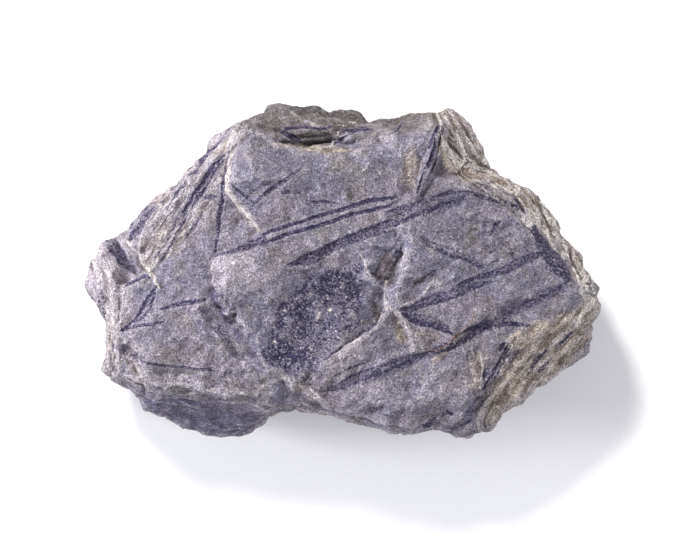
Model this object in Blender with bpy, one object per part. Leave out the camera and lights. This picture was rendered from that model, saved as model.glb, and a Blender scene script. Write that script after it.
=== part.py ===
"""Fossil plant plate: one broken slab of grey shale, lying on its back with the fossil face up.

The slab is modelled as a net of break lines. Each line follows a ridge, a valley, the rim of a
step or its foot, and its points are (x, y, height) in millimetres, counted from a point under the
middle of the plate on the surface that it lies on. The lines are joined into facets, as shale
breaks into facets, and the facets are then roughened and worn.
"""

import random

import bmesh
import bpy
from mathutils import Vector, noise
from mathutils.geometry import delaunay_2d_cdt

# Driving dimensions, in millimetres
PLATE_LENGTH = 130.0
PLATE_WIDTH = 84.0
PLATE_THICKNESS = 38.0

NODE_NAME = "shale_slab"
METRES_PER_MM = 0.001

FACE_GRAIN, UNDER_GRAIN = 3.35, 7.0  # longest side of a facet's smaller triangles, above and below
UNDER_TOP = 9.0  # the underside's coarser triangles reach this high
MOST_HALVINGS = 24  # rounds of splitting, more than any facet needs
WARP_SIZE, WARP_DEPTH = 9.0, 0.75  # long waves that bend the straight break lines
LUMP_SIZE, LUMP_DEPTH = 4.5, 0.42  # lumps and dents over the whole stone
BED_PITCH, BED_RUN, BED_DEPTH = 1.9, 13.0, 0.8  # thin beds that step out of the broken sides
SCOOP_SIZE, SCOOP_DEPTH = 8.5, 2.4  # shell-shaped scars on the broken sides
FOOT_WEAR = 0.9  # depth of the lowest stone that is worn off flat, so that the plate rests
NOISE_SEED = 7

# The plate's edge seen from above, from its left tip round by the top, with the height of the
# widest point of the side there.
EDGE = [
    (-65.0, -1.5, 13), (-64.2, 1.8, 13), (-62.0, 5.0, 14), (-60.2, 7.6, 15), (-57.0, 9.1, 15),
    (-54.5, 10.6, 14), (-52.0, 13.2, 14), (-49.5, 15.6, 14), (-47.0, 17.6, 13), (-44.8, 19.2, 13),
    (-42.3, 21.7, 13), (-40.3, 23.8, 14), (-39.3, 25.2, 14), (-37.6, 26.0, 14), (-35.2, 28.2, 13),
    (-34.2, 29.5, 13), (-33.9, 31.6, 14), (-32.6, 33.6, 14), (-30.8, 34.6, 15), (-27.2, 36.1, 16),
    (-24.6, 37.9, 15), (-22.6, 39.2, 14), (-20.0, 40.0, 14), (-18.6, 41.5, 13), (-16.5, 42.0, 13),
    (-11.4, 41.9, 13), (-9.6, 41.1, 14), (-6.6, 41.1, 14), (-3.4, 40.1, 14), (-0.2, 39.7, 15),
    (1.7, 38.6, 16), (4.5, 37.3, 17), (6.8, 36.4, 18), (9.5, 37.5, 18), (13.0, 37.9, 18),
    (16.8, 39.5, 18), (19.4, 40.1, 18), (22.3, 40.6, 17), (24.0, 40.1, 17), (26.2, 40.6, 17),
    (28.4, 39.8, 16), (29.7, 38.3, 16), (31.6, 35.8, 15), (33.2, 33.4, 15), (34.8, 30.9, 15),
    (35.2, 28.6, 15), (36.4, 27.6, 15), (36.9, 25.9, 15), (38.6, 25.3, 15), (40.4, 23.5, 15),
    (42.2, 23.3, 14), (45.2, 21.0, 14), (48.2, 19.1, 14), (50.4, 17.0, 13), (52.3, 14.6, 13),
    (54.3, 12.3, 13), (55.3, 9.6, 13), (57.5, 7.4, 13), (58.5, 5.2, 14), (60.1, 3.6, 14),
    (60.6, 0.4, 14), (62.4, -2.1, 15), (64.8, -4.4, 16), (64.0, -6.4, 18), (65.3, -8.0, 19),
    (64.0, -10.6, 20), (62.4, -13.0, 20), (61.8, -16.8, 21), (61.5, -20.5, 21), (58.9, -22.8, 22),
    (55.6, -25.6, 22), (51.9, -28.6, 22), (48.4, -29.0, 22), (46.2, -30.7, 22), (45.1, -32.9, 22),
    (42.3, -33.6, 22), (40.4, -36.0, 22), (37.2, -39.6, 22), (33.8, -40.7, 22), (31.2, -41.8, 21),
    (28.4, -41.9, 21), (25.6, -40.6, 22), (22.2, -39.8, 22), (17.0, -40.8, 22), (12.0, -40.1, 22),
    (6.4, -38.6, 23), (1.0, -37.2, 23), (-2.6, -35.8, 22), (-7.6, -35.2, 20), (-12.0, -34.3, 20),
    (-16.0, -35.0, 16), (-18.6, -36.2, 12), (-20.4, -38.4, 9), (-23.2, -40.8, 8), (-28.0, -41.8, 8),
    (-34.0, -41.0, 8), (-39.6, -38.8, 9), (-44.6, -36.2, 11), (-49.3, -33.8, 13), (-51.3, -31.2, 14),
    (-54.0, -29.4, 14), (-57.0, -27.6, 13), (-59.7, -24.6, 13), (-59.2, -21.6, 13),
    (-59.7, -16.6, 12), (-60.3, -13.0, 12), (-61.6, -9.6, 12), (-63.3, -6.4, 12), (-64.6, -4.0, 13),
]

# Break lines of the upper side
FACE_LINES = {
    # upper left: the dome and the sunken fan beside it
    "dome rim": [
        (-23.4, 34.4, 33.6), (-26.2, 32.8, 34.4), (-27.0, 27.0, 35.2), (-27.4, 22.6, 35.2),
        (-28.2, 20.2, 34.8), (-25.8, 18.0, 34.8), (-23.2, 15.6, 34.6), (-21.0, 12.2, 34.4),
        (-20.2, 9.4, 34.2),
    ],
    "dome foot": [
        (-27.8, 31.4, 31.0), (-28.6, 27.0, 30.6), (-29.4, 21.6, 30.8), (-29.1, 18.4, 31.2),
        (-26.8, 15.8, 31.8), (-24.4, 12.8, 32.2), (-22.6, 9.4, 32.8),
    ],
    "dome top": [(-23.4, 29.0, 37.2), (-22.6, 23.4, 37.0), (-18.0, 22.6, 36.6), (-14.6, 26.6, 36.2)],
    "fan crest": [
        (-27.2, 34.2, 28.6), (-29.6, 29.8, 28.8), (-33.2, 26.4, 27.4), (-38.2, 22.4, 26.4),
        (-40.2, 18.8, 26.0), (-43.6, 14.6, 25.6), (-47.0, 12.6, 25.2), (-48.4, 9.6, 26.0),
        (-50.6, 6.8, 25.8),
    ],
    "fan floor": [(-31.2, 24.6, 29.4), (-35.6, 18.6, 28.6), (-40.0, 11.4, 28.4), (-44.6, 5.4, 28.4)],
    "fan rib": [(-31.0, 20.0, 30.6), (-34.6, 13.6, 30.6), (-37.6, 7.4, 30.6), (-41.4, 1.6, 30.2)],
    "fan back": [(-31.0, 9.6, 31.8), (-33.6, 4.4, 31.4), (-36.8, 0.4, 31.0)],
    "upper left side": [
        (-30.4, 32.0, 22.5), (-34.6, 27.4, 21.5), (-39.6, 23.2, 20.5), (-42.6, 19.6, 20.0),
        (-46.6, 15.8, 20.0), (-50.2, 13.0, 19.6),
    ],
    "slot": [(-47.4, 14.4, 22.4), (-50.2, 11.8, 21.6), (-52.6, 8.0, 21.6)],
    # left end: a scoop between a bright shoulder and a sharp crest
    "scoop floor": [(-58.0, 6.4, 19.0), (-55.8, 4.6, 18.8), (-53.6, 1.6, 20.2), (-54.8, -1.6, 21.4)],
    "scoop crest": [
        (-53.0, 6.8, 24.0), (-51.0, 4.0, 25.8), (-48.6, 1.0, 27.2), (-46.6, -2.4, 28.2),
        (-45.4, -4.4, 28.6),
    ],
    "left shoulder": [
        (-60.0, 4.2, 19.6), (-58.6, 1.0, 21.4), (-57.4, -3.0, 23.4), (-56.8, -8.0, 25.4),
        (-56.4, -13.0, 26.6), (-56.4, -18.0, 26.8), (-56.4, -22.4, 26.4), (-55.6, -25.8, 25.4),
    ],
    "left end slope": [(-62.2, 1.0, 17.2), (-61.6, -4.0, 18.0), (-59.6, -9.6, 20.0), (-58.6, -15.0, 20.6),
                       (-58.0, -21.6, 20.4)],
    "tooth": [(-54.4, -4.2, 25.4), (-50.6, -1.6, 27.2), (-48.8, -1.4, 27.6)],
    "tooth foot": [(-54.6, -3.0, 22.4), (-51.4, -0.6, 22.8), (-49.8, 0.4, 24.4)],
    "narrow valley": [(-46.6, -5.0, 28.2), (-49.2, -8.6, 27.4), (-52.2, -12.4, 26.8), (-54.8, -14.6, 26.8)],
    "left table": [(-43.4, -7.4, 30.4), (-47.6, -12.6, 29.4), (-44.0, -16.0, 30.4), (-38.6, -13.6, 31.0)],
    "corner crest": [(-53.6, -16.6, 28.4), (-51.0, -19.4, 29.2), (-49.6, -22.8, 29.2), (-48.4, -26.4, 28.0)],
    "corner foot": [(-54.6, -18.2, 26.8), (-52.4, -21.8, 26.9), (-51.0, -26.0, 26.2)],
    "table back": [(-40.4, -3.0, 31.2), (-37.4, -7.6, 31.4), (-35.0, -12.4, 31.2)],
    "table front": [(-44.6, -22.6, 29.8), (-38.0, -23.6, 30.0), (-33.0, -22.4, 30.4)],
    # front rim, and the steep underside below it
    "front rim": [
        (-53.2, -27.6, 25.6), (-49.0, -28.7, 26.6), (-43.0, -28.4, 27.8), (-38.0, -28.8, 28.2),
        (-34.0, -29.4, 28.4), (-31.4, -30.3, 28.4), (-29.0, -31.3, 28.2), (-26.6, -30.2, 29.0),
        (-23.0, -31.0, 29.0), (-19.6, -33.0, 27.8), (-15.8, -33.6, 25.6),
    ],
    "under rim": [
        (-49.6, -30.8, 19.4), (-44.0, -31.4, 20.0), (-38.0, -32.0, 20.4), (-30.0, -34.2, 19.6),
        (-24.0, -33.8, 20.0), (-19.6, -34.8, 19.6),
    ],
    "under swell": [(-42.0, -34.2, 15.0), (-34.0, -37.0, 13.6), (-26.6, -38.0, 13.4), (-21.6, -37.0, 14.6)],
    # centre left: a pale lump that overhangs a dark crack
    "lump top": [(-29.6, -3.8, 35.4), (-28.4, 1.0, 36.0), (-23.4, 2.2, 35.6), (-19.0, -1.6, 34.8)],
    "lump rim": [
        (-21.4, 5.0, 34.4), (-26.4, 4.4, 34.4), (-30.0, 3.2, 34.2), (-32.2, 0.6, 34.2),
        (-32.4, -3.2, 34.0), (-30.8, -6.8, 33.8), (-28.4, -9.4, 33.4), (-25.4, -11.2, 33.0),
        (-24.0, -14.2, 32.6),
    ],
    "lump foot": [
        (-20.6, 6.8, 33.8), (-25.8, 6.0, 32.8), (-31.2, 4.6, 31.8), (-33.6, 1.2, 31.2),
        (-33.8, -3.8, 31.2), (-32.0, -7.8, 31.0), (-29.8, -10.8, 30.8), (-27.0, -12.8, 30.6),
        (-25.6, -15.6, 30.6),
    ],
    "ragged slope": [(-31.0, -16.0, 31.0), (-29.0, -21.0, 30.8), (-27.6, -26.4, 29.8)],
    # middle: the shallow carbon hollow and its pale rim
    "hollow rim": [
        (-21.8, -15.8, 32.8), (-20.6, -19.4, 32.4), (-19.6, -23.0, 32.2), (-15.6, -26.4, 31.8),
        (-11.4, -28.6, 31.4),
    ],
    "hollow foot": [
        (-16.4, -9.4, 32.6), (-18.8, -14.6, 31.6), (-18.2, -20.2, 31.0), (-14.6, -24.2, 30.8),
        (-8.6, -26.2, 30.8),
    ],
    "hollow floor": [(-9.0, -7.4, 31.4), (-11.0, -14.0, 31.0), (-9.0, -20.0, 30.8), (-3.6, -14.0, 30.8)],
    "hollow back": [(-3.0, -1.6, 31.8), (3.0, -3.6, 31.0), (2.0, -9.6, 30.6)],
    "cheek": [(3.0, 6.4, 34.6), (3.8, 2.8, 34.2), (6.0, 0.2, 34.4), (7.4, -2.0, 33.8)],
    "cheek top": [(7.2, 6.6, 35.2), (8.8, 3.8, 34.2)],
    "upper pit": [(12.4, 5.4, 32.8), (11.2, 2.0, 31.0), (9.4, -1.0, 30.4)],
    "pit bridge": [(7.8, -3.2, 32.4), (10.2, -4.0, 33.0), (11.2, -7.0, 33.6)],
    "lower pit": [(6.0, -6.8, 30.2), (8.6, -8.0, 29.2), (8.6, -11.2, 29.0), (6.2, -13.2, 29.8)],
    "tongue edge": [(12.6, -10.0, 34.0), (9.6, -13.0, 33.6), (4.6, -16.6, 33.0), (0.2, -20.2, 32.6),
                    (-4.6, -23.6, 32.0)],
    "tongue foot": [(10.4, -10.6, 30.6), (7.4, -13.8, 30.4), (2.6, -17.4, 30.6), (-2.2, -20.6, 30.8)],
    "tongue": [(9.4, -17.6, 33.0), (3.4, -22.0, 32.6), (-2.8, -25.8, 31.8)],
    # right of the middle: the high table that drops to the pits
    "table edge": [(17.0, 8.6, 35.8), (16.4, 3.0, 36.2), (15.2, -1.2, 36.0), (13.0, -5.2, 35.4),
                   (13.0, -8.2, 34.8)],
    "table foot": [(13.8, 7.2, 33.6), (13.2, 2.6, 32.0), (11.8, -2.2, 31.6)],
    "table": [(22.6, 6.0, 35.8), (20.0, 2.0, 35.6), (18.4, -1.6, 35.2)],
    "table crease": [(16.8, -4.6, 34.4), (20.2, -2.4, 34.0), (23.6, 0.2, 34.2)],
    "table ridge": [(15.2, -8.8, 34.8), (19.4, -6.4, 35.2), (22.6, -3.6, 35.2), (25.0, -0.6, 35.0)],
    "apron crest": [(14.2, -10.8, 34.4), (15.8, -13.4, 34.0), (16.8, -16.4, 33.6), (17.2, -18.8, 33.0)],
    "apron valley": [(13.0, -12.8, 32.4), (15.0, -16.0, 31.2), (14.6, -18.6, 31.4)],
    "apron": [(20.6, -11.0, 33.4), (24.0, -14.0, 33.2), (27.2, -12.0, 33.8)],
    "layer edge": [(33.8, -10.8, 34.0), (30.6, -14.6, 34.0), (27.0, -18.0, 33.6), (22.6, -19.8, 33.0),
                   (18.0, -19.9, 32.4)],
    "layer foot": [(34.8, -12.0, 32.4), (31.6, -15.8, 32.2), (27.8, -19.2, 32.0), (22.8, -21.2, 31.8),
                   (17.6, -21.4, 31.8)],
    # lower middle, down to the front edge
    "front table": [(8.0, -24.6, 32.2), (16.0, -26.0, 31.8), (26.0, -24.4, 31.8)],
    "front slope": [(4.0, -30.6, 31.4), (11.0, -33.0, 30.6), (20.0, -33.0, 30.4), (28.0, -31.0, 30.6)],
    "front lip": [(3.4, -35.4, 29.0), (9.0, -37.2, 28.6), (16.0, -38.4, 27.8), (22.6, -37.4, 27.2),
                  (27.4, -38.8, 26.2)],
    "chip crest": [(-8.2, -30.2, 31.0), (-5.2, -32.4, 30.4), (-2.6, -34.2, 29.0)],
    "chip": [(-9.6, -31.6, 28.4), (-12.4, -33.0, 27.0), (-7.0, -33.8, 26.4)],
    # right half of the face
    "mid face": [(-14.0, 4.0, 34.4), (-6.0, 7.6, 34.6), (3.0, 11.0, 34.8), (12.0, 13.0, 34.8)],
    "upper face": [(-12.0, 15.0, 35.2), (-4.0, 18.4, 35.2), (6.0, 20.6, 35.0), (13.4, 20.8, 34.8)],
    "high face": [(-6.6, 26.0, 35.0), (2.0, 26.0, 34.8), (9.6, 26.6, 34.6)],
    "right face": [(22.0, 15.4, 34.8), (30.0, 14.6, 34.4), (34.2, 8.8, 33.4), (30.4, 3.6, 34.4)],
    "right dents": [(37.6, 13.6, 34.0), (38.8, 9.0, 32.6), (37.6, 4.6, 32.8)],
    "right knob": [(43.0, 12.6, 32.8), (42.6, 6.6, 33.4), (46.0, 3.8, 32.2)],
    "right low": [(35.6, -2.6, 34.0), (44.0, -4.4, 33.0), (51.6, -3.0, 31.2), (57.4, -5.0, 29.8)],
    "right shelf": [(38.0, -10.0, 33.4), (45.4, -10.4, 32.4), (52.4, -9.4, 31.0)],
    "right rim": [
        (25.4, 22.4, 34.2), (31.0, 22.6, 33.8), (35.6, 21.4, 33.2), (40.2, 18.4, 32.4),
        (43.4, 15.2, 31.8), (46.4, 10.8, 31.2), (49.2, 7.0, 30.6), (52.4, 3.2, 30.0),
        (55.8, 0.2, 29.4), (58.8, -3.0, 28.4), (60.8, -6.4, 27.2),
    ],
    "right side": [
        (38.4, 22.8, 25.0), (43.8, 19.8, 23.6), (48.0, 15.4, 22.2), (51.4, 10.6, 21.2),
        (54.6, 5.8, 20.6), (58.2, 1.2, 20.4), (61.4, -3.2, 21.0),
    ],
    # lower right: the long weathered bevel
    "bevel top": [(54.6, -8.4, 30.6), (50.4, -13.6, 31.4), (44.2, -15.4, 31.8), (38.6, -20.0, 31.8),
                  (34.6, -27.0, 31.0), (32.4, -33.0, 29.4), (30.0, -37.6, 27.0)],
    "bevel": [(57.4, -11.4, 28.0), (51.4, -17.6, 28.8), (45.8, -22.6, 28.6), (41.0, -28.0, 27.8),
              (37.0, -33.6, 26.4)],
    "bevel step": [(62.4, -8.8, 24.8), (59.6, -13.0, 26.6), (56.6, -16.4, 27.2), (52.8, -20.8, 27.2),
                   (48.8, -25.4, 26.4), (44.6, -29.8, 25.8), (40.4, -34.0, 25.2)],
    "bevel foot": [(60.6, -14.8, 24.4), (57.4, -19.0, 25.2), (52.8, -23.6, 25.2), (49.4, -26.8, 24.6)],
    # upper right: the peak, split by a narrow cleft
    "cleft left": [(18.4, 19.6, 34.6), (20.3, 24.0, 35.0), (21.9, 29.0, 35.0), (23.0, 33.0, 34.6)],
    "cleft floor": [(19.2, 19.4, 33.8), (21.2, 24.0, 33.2), (22.8, 29.0, 32.6), (24.0, 33.2, 32.2),
                    (25.4, 36.2, 31.6)],
    "cleft right": [(22.1, 23.4, 33.9), (23.8, 28.3, 33.8), (25.2, 32.7, 33.2), (26.7, 36.0, 32.2)],
    "peak": [(12.0, 31.2, 34.6), (17.0, 31.4, 35.2), (20.0, 34.2, 34.8), (22.6, 36.4, 33.0)],
    "peak back": [(13.4, 35.2, 30.6), (18.4, 37.6, 29.4), (23.0, 38.6, 29.0), (27.2, 38.0, 28.8)],
    "peak side": [(29.4, 35.4, 25.4), (30.4, 31.6, 26.4), (30.6, 28.4, 27.6), (32.6, 25.8, 27.0)],
    "peak foot": [(24.6, 24.6, 32.2), (28.6, 24.4, 30.6), (33.0, 23.9, 29.6), (36.4, 22.9, 28.4)],
    # top: the brown ledge beyond the face, with its recess
    "face top rim": [
        (-18.4, 32.4, 34.2), (-14.4, 30.4, 34.4), (-10.2, 29.4, 34.2), (-4.0, 29.6, 34.2),
        (2.0, 29.8, 34.2), (6.8, 30.2, 34.2),
    ],
    "recess lip": [(-17.8, 33.8, 31.4), (-14.2, 31.6, 30.0), (-9.8, 30.6, 29.0), (-3.0, 30.8, 29.0),
                   (0.6, 31.4, 29.8)],
    "recess front": [(-15.4, 33.2, 28.6), (-12.6, 32.6, 27.2), (-8.0, 31.9, 26.2), (-3.4, 31.9, 26.2),
                     (-0.8, 32.2, 27.4)],
    "recess floor": [(-13.0, 34.2, 26.8), (-8.0, 34.2, 26.0), (-3.4, 34.0, 26.2)],
    "recess back": [(-18.6, 35.6, 28.6), (-13.4, 35.8, 29.0), (-8.6, 36.1, 29.4), (-3.6, 35.7, 29.0)],
    "ledge": [(-22.6, 36.4, 27.4), (-17.4, 38.2, 24.8), (-13.4, 39.2, 26.0), (-9.8, 38.0, 25.8),
              (-6.6, 38.6, 24.0), (-3.2, 38.2, 25.2), (0.6, 37.4, 25.2)],
    "ledge steps": [(-1.6, 33.6, 28.0), (2.2, 33.0, 30.2), (7.6, 33.0, 31.4), (10.4, 34.6, 30.0)],
    "ledge edge": [(-0.6, 35.5, 27.0), (4.6, 35.8, 26.4), (9.6, 36.4, 25.4)],
}

# Break lines of the underside. The lowest are the foot that the plate rests on.
UNDER_LINES = {
    "foot left": [(-48.0, -6.0, 0.0), (-43.0, 9.0, 0.0), (-32.0, 19.0, 0.0), (-14.0, 28.0, 0.0)],
    "foot right": [(6.0, 26.0, 0.0), (25.0, 22.0, 0.0), (41.0, 9.0, 0.0), (49.0, -6.0, 0.0)],
    "foot front": [(42.0, -18.0, 0.0), (25.0, -26.0, 0.0), (6.0, -25.0, 0.0), (-14.0, -26.0, 0.0),
                   (-31.0, -31.0, 0.0), (-44.0, -22.0, 0.0)],
    "worn patch": [(-12.0, 12.0, 2.4), (4.0, 15.0, 3.0), (17.0, 6.0, 2.8), (11.0, -5.0, 2.2)],
    "worn patch edge": [(-17.0, 15.0, 0.6), (3.0, 19.0, 0.7), (21.0, 10.0, 0.6), (17.0, -9.0, 0.6),
                        (-2.0, -4.0, 0.6)],
    "left side": [(-53.6, -26.4, 6.0), (-56.4, -21.0, 5.2), (-57.4, -13.0, 5.0), (-61.0, -3.6, 6.6),
                  (-56.6, 5.4, 6.8)],
    "upper left side": [(-50.6, 10.4, 5.6), (-44.4, 16.4, 7.4), (-38.4, 20.6, 5.4), (-31.4, 29.6, 7.2)],
    "back side": [(-25.6, 33.6, 5.0), (-17.6, 38.4, 6.6), (-8.0, 37.4, 5.6), (1.6, 34.8, 7.4),
                  (11.6, 33.6, 9.4), (21.6, 36.8, 9.6), (27.2, 34.6, 7.6)],
    "right side": [(31.2, 27.4, 6.2), (39.8, 20.0, 6.6), (47.6, 13.8, 5.0), (54.2, 4.6, 6.2),
                   (59.4, -4.0, 7.8), (59.8, -12.6, 9.4)],
    "front right side": [(55.4, -20.6, 10.0), (48.0, -25.2, 11.4), (41.8, -31.2, 10.6),
                         (34.6, -37.2, 12.0), (26.0, -36.6, 12.6)],
    "front side": [(15.4, -37.2, 11.6), (4.2, -34.6, 12.2), (-5.4, -32.2, 9.0), (-14.4, -31.0, 5.6)],
    "corner side": [(-24.2, -37.8, 2.8), (-34.6, -37.4, 3.0), (-44.8, -32.6, 5.4)],
}


def net_of(edge, lines):
    """Joins an edge loop and the lines inside it into facets: their points and their corners."""
    points = list(edge)
    links = [(i, (i + 1) % len(edge)) for i in range(len(edge))]
    for line in lines.values():
        first = len(points)
        points += line
        links += [(i, i + 1) for i in range(first, len(points) - 1)]
    flat = [Vector((x, y)) for x, y, _ in points]
    placed, _, corners, sources, _, _ = delaunay_2d_cdt(flat, links, [list(range(len(edge)))], 1, 1e-4)
    if any(not source for source in sources):
        raise ValueError("two break lines cross, so the height where they meet isn't known")
    heights = [points[source[0]][2] for source in sources]
    return [Vector((p.x, p.y, z)) for p, z in zip(placed, heights)], corners


def facets():
    """The closed net: upper and lower facets, joined along the plate's edge."""
    bm = bmesh.new()
    for lines, flip in ((FACE_LINES, False), (UNDER_LINES, True)):
        points, corners = net_of(EDGE, lines)
        verts = [bm.verts.new(p) for p in points]
        for triangle in corners:
            face = [verts[i] for i in triangle]
            bm.faces.new(face[::-1] if flip else face)
    bmesh.ops.remove_doubles(bm, verts=bm.verts, dist=1e-3)
    return bm


def three_sided(bm):
    """Cuts every face into triangles, by rules that give the same ones each time."""
    bmesh.ops.triangulate(bm, faces=bm.faces, quad_method="SHORT_EDGE", ngon_method="EAR_CLIP")


def excess(edge):
    """An edge's length, counted in the longest side that is wanted where it lies."""
    middle = (edge.verts[0].co + edge.verts[1].co) / 2
    return edge.calc_length() / (FACE_GRAIN if middle.z > UNDER_TOP else UNDER_GRAIN)


def halve(edge):
    """Puts a point in the middle of an edge and joins it to the far corner of both triangles."""
    _, middle = bmesh.utils.edge_split(edge, edge.verts[0], 0.5)
    for face in list(middle.link_faces):
        corners = list(face.verts)
        far_corner = corners[(corners.index(middle) + 2) % 4]
        bmesh.utils.face_split(face, middle, far_corner)


def split_facets(bm):
    """Halves the longest edges until all are short, so that the roughness has points to move."""
    for _ in range(MOST_HALVINGS):
        longest = max(excess(e) for e in bm.edges)
        long = [e for e in bm.edges if excess(e) > max(1.0, 0.75 * longest)]
        for edge in sorted(long, key=excess, reverse=True):
            halve(edge)


def break_roughness(point, normal, drift):
    """How far the broken stone stands off its flat facets at a point, as a vector."""
    warp = Vector([noise.noise(point / WARP_SIZE + drift * k) for k in (1, 2, 3)]) * WARP_DEPTH
    warp.z *= 0.45
    lumps = noise.fractal(point / LUMP_SIZE + drift, 0.9, 2.1, 3) * LUMP_DEPTH
    along_beds = Vector((point.x / BED_RUN, point.y / BED_RUN, point.z / BED_PITCH))
    steepness = 1.0 - abs(normal.z)
    beds = noise.noise(along_beds + drift) * BED_DEPTH
    to_scar = noise.voronoi(point / SCOOP_SIZE + drift, distance_metric="DISTANCE_SQUARED")[0][0]
    scoops = (to_scar - 0.25) * SCOOP_DEPTH
    return warp + normal * (lumps + (beds + scoops) * steepness)


def roughen(bm):
    drift = Vector([random.Random(NOISE_SEED).uniform(20, 90) for _ in range(3)])
    bm.normal_update()
    moves = [break_roughness(v.co, v.normal, drift) for v in bm.verts]
    for vertex, move in zip(bm.verts, moves):
        vertex.co += move


def wear_foot(bm):
    """Wears the lowest stone off to one level, so that the plate stands on a flat foot."""
    level = min(v.co.z for v in bm.verts) + FOOT_WEAR
    for vertex in bm.verts:
        vertex.co.z = max(vertex.co.z, level)
    foot = {f for f in bm.faces if all(v.co.z - level < 1e-4 for v in f.verts)}
    edges = [e for e in bm.edges if all(f in foot for f in e.link_faces)]
    verts = [v for v in bm.verts if all(f in foot for f in v.link_faces)]
    bmesh.ops.dissolve_limit(bm, angle_limit=0.001, edges=edges, verts=verts)
    three_sided(bm)


def fit_to_size(bm):
    """Brings the slab to its driving dimensions, in metres, centred on the origin and standing on it."""
    low = Vector([min(v.co[i] for v in bm.verts) for i in range(3)])
    high = Vector([max(v.co[i] for v in bm.verts) for i in range(3)])
    base = Vector(((low.x + high.x) / 2, (low.y + high.y) / 2, low.z))
    size = (PLATE_LENGTH, PLATE_WIDTH, PLATE_THICKNESS)
    scale = Vector([size[i] / (high[i] - low[i]) * METRES_PER_MM for i in range(3)])
    for vertex in bm.verts:
        vertex.co = (vertex.co - base) * scale


def shale():
    material = bpy.data.materials.new("shale")
    material.use_nodes = True
    surface = material.node_tree.nodes["Principled BSDF"]
    surface.inputs["Base Color"].default_value = (0.20, 0.18, 0.19, 1.0)
    surface.inputs["Roughness"].default_value = 0.9
    surface.inputs["Metallic"].default_value = 0.0
    return material


def main():
    for obj in list(bpy.data.objects):
        bpy.data.objects.remove(obj)
    bm = facets()
    split_facets(bm)
    roughen(bm)
    wear_foot(bm)
    fit_to_size(bm)
    mesh = bpy.data.meshes.new(NODE_NAME)
    bm.to_mesh(mesh)
    bm.free()
    mesh.materials.append(shale())
    mesh.shade_smooth()
    mesh.set_sharp_from_angle(angle=0.6)
    slab = bpy.data.objects.new(NODE_NAME, mesh)
    bpy.context.scene.collection.objects.link(slab)


main()
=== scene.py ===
# %% [markdown]
# # A fossil fern plate
#
# This lesson dresses one object: a slab of grey shale with the carbon films of long fern stems and
# blades pressed into it. The slab lies on its back, so that its fossil face looks up, and the
# camera looks straight down on it. The solid slab is loaded first, as a fixed frame. It has the
# outline, ledges, pits and ridges. What it lacks is everything smaller than about two
# millimetres, and all colour.

import bmesh
import bpy
import numpy as np
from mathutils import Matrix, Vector, noise


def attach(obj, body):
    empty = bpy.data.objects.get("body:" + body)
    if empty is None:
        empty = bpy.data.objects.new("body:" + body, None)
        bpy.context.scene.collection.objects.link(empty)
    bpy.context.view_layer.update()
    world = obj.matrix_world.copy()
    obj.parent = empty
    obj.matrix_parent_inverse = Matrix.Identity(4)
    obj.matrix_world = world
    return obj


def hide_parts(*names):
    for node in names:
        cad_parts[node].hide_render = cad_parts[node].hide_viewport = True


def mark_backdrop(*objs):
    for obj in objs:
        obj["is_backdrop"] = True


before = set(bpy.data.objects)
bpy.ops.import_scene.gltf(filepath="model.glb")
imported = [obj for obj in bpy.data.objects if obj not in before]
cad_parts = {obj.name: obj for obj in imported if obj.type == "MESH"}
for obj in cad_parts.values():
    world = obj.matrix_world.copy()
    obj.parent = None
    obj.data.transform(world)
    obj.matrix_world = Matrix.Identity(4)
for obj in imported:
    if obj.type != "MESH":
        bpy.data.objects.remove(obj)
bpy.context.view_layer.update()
MM = 0.001  # a millimetre, in Blender's metres

# %% [markdown]
# ## A finer copy of the stone
#
# The frame's mesh is loose triangles about two millimetres across. A bump map alone could draw
# fine grooves on it, but they would vanish at the silhouette and in raking light. So the dressed
# stone is a copy with its triangles joined up and each cut into sixteen, which leaves a point
# every half millimetre to carve with. A few rounds of smoothing then take the hard facet edges
# off, while the ledges, which are several millimetres high, keep their shape.

# %% Copy, join and refine
EDGE_CUTS = 3  # cuts in each edge, so four pieces of it
SOFTENING_ROUNDS = 2


def refined_stone(source):
    """A bmesh of the source's surface, merged, with sixteen small triangles for each one."""
    bm = bmesh.new()
    bm.from_mesh(source.data)
    bmesh.ops.remove_doubles(bm, verts=bm.verts, dist=0.02 * MM)
    bmesh.ops.subdivide_edges(bm, edges=bm.edges, cuts=EDGE_CUTS, use_grid_fill=True)
    bmesh.ops.triangulate(bm, faces=bm.faces)
    for _ in range(SOFTENING_ROUNDS):
        bmesh.ops.smooth_vert(
            bm, verts=bm.verts, factor=0.5, use_axis_x=True, use_axis_y=True, use_axis_z=True
        )
    return bm


bm = refined_stone(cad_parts["shale_slab"])
stone_mesh = bpy.data.meshes.new("shale_stone")
bm.to_mesh(stone_mesh)
bm.free()
print("fine copy:", len(stone_mesh.polygons), "triangles")

# %% [markdown]
# ## Where each point lies
#
# Numpy holds all the points in one table, so that a groove can be carved by one line of
# arithmetic instead of a loop. Everything here is in millimetres. The *plan* is the view from
# above, x to the right and y up. It is bent a little by slow noise before any line is measured
# in it, because nothing that grew and was then pressed in mud has a ruler's edge.


# %% Points, normals and the bent plan
def read_vectors(mesh, what):
    flat = np.zeros(len(mesh.vertices) * 3, np.float32)
    if what == "place":
        mesh.vertices.foreach_get("co", flat)
        flat /= MM
    else:
        mesh.vertex_normals.foreach_get("vector", flat)
    return flat.reshape(-1, 3).astype(float)


def noise_at(points, size, shift=0.0, octaves=1):
    """Smooth noise at each point, about -1 to 1, with lumps of the given size."""
    out = np.empty(len(points))
    offset = Vector((shift, shift * 1.7, -shift))
    for i, p in enumerate(points / size):
        q = Vector(p) + offset
        out[i] = noise.noise(q) if octaves == 1 else noise.fractal(q, 0.8, 2.1, octaves)
    return out


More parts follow.
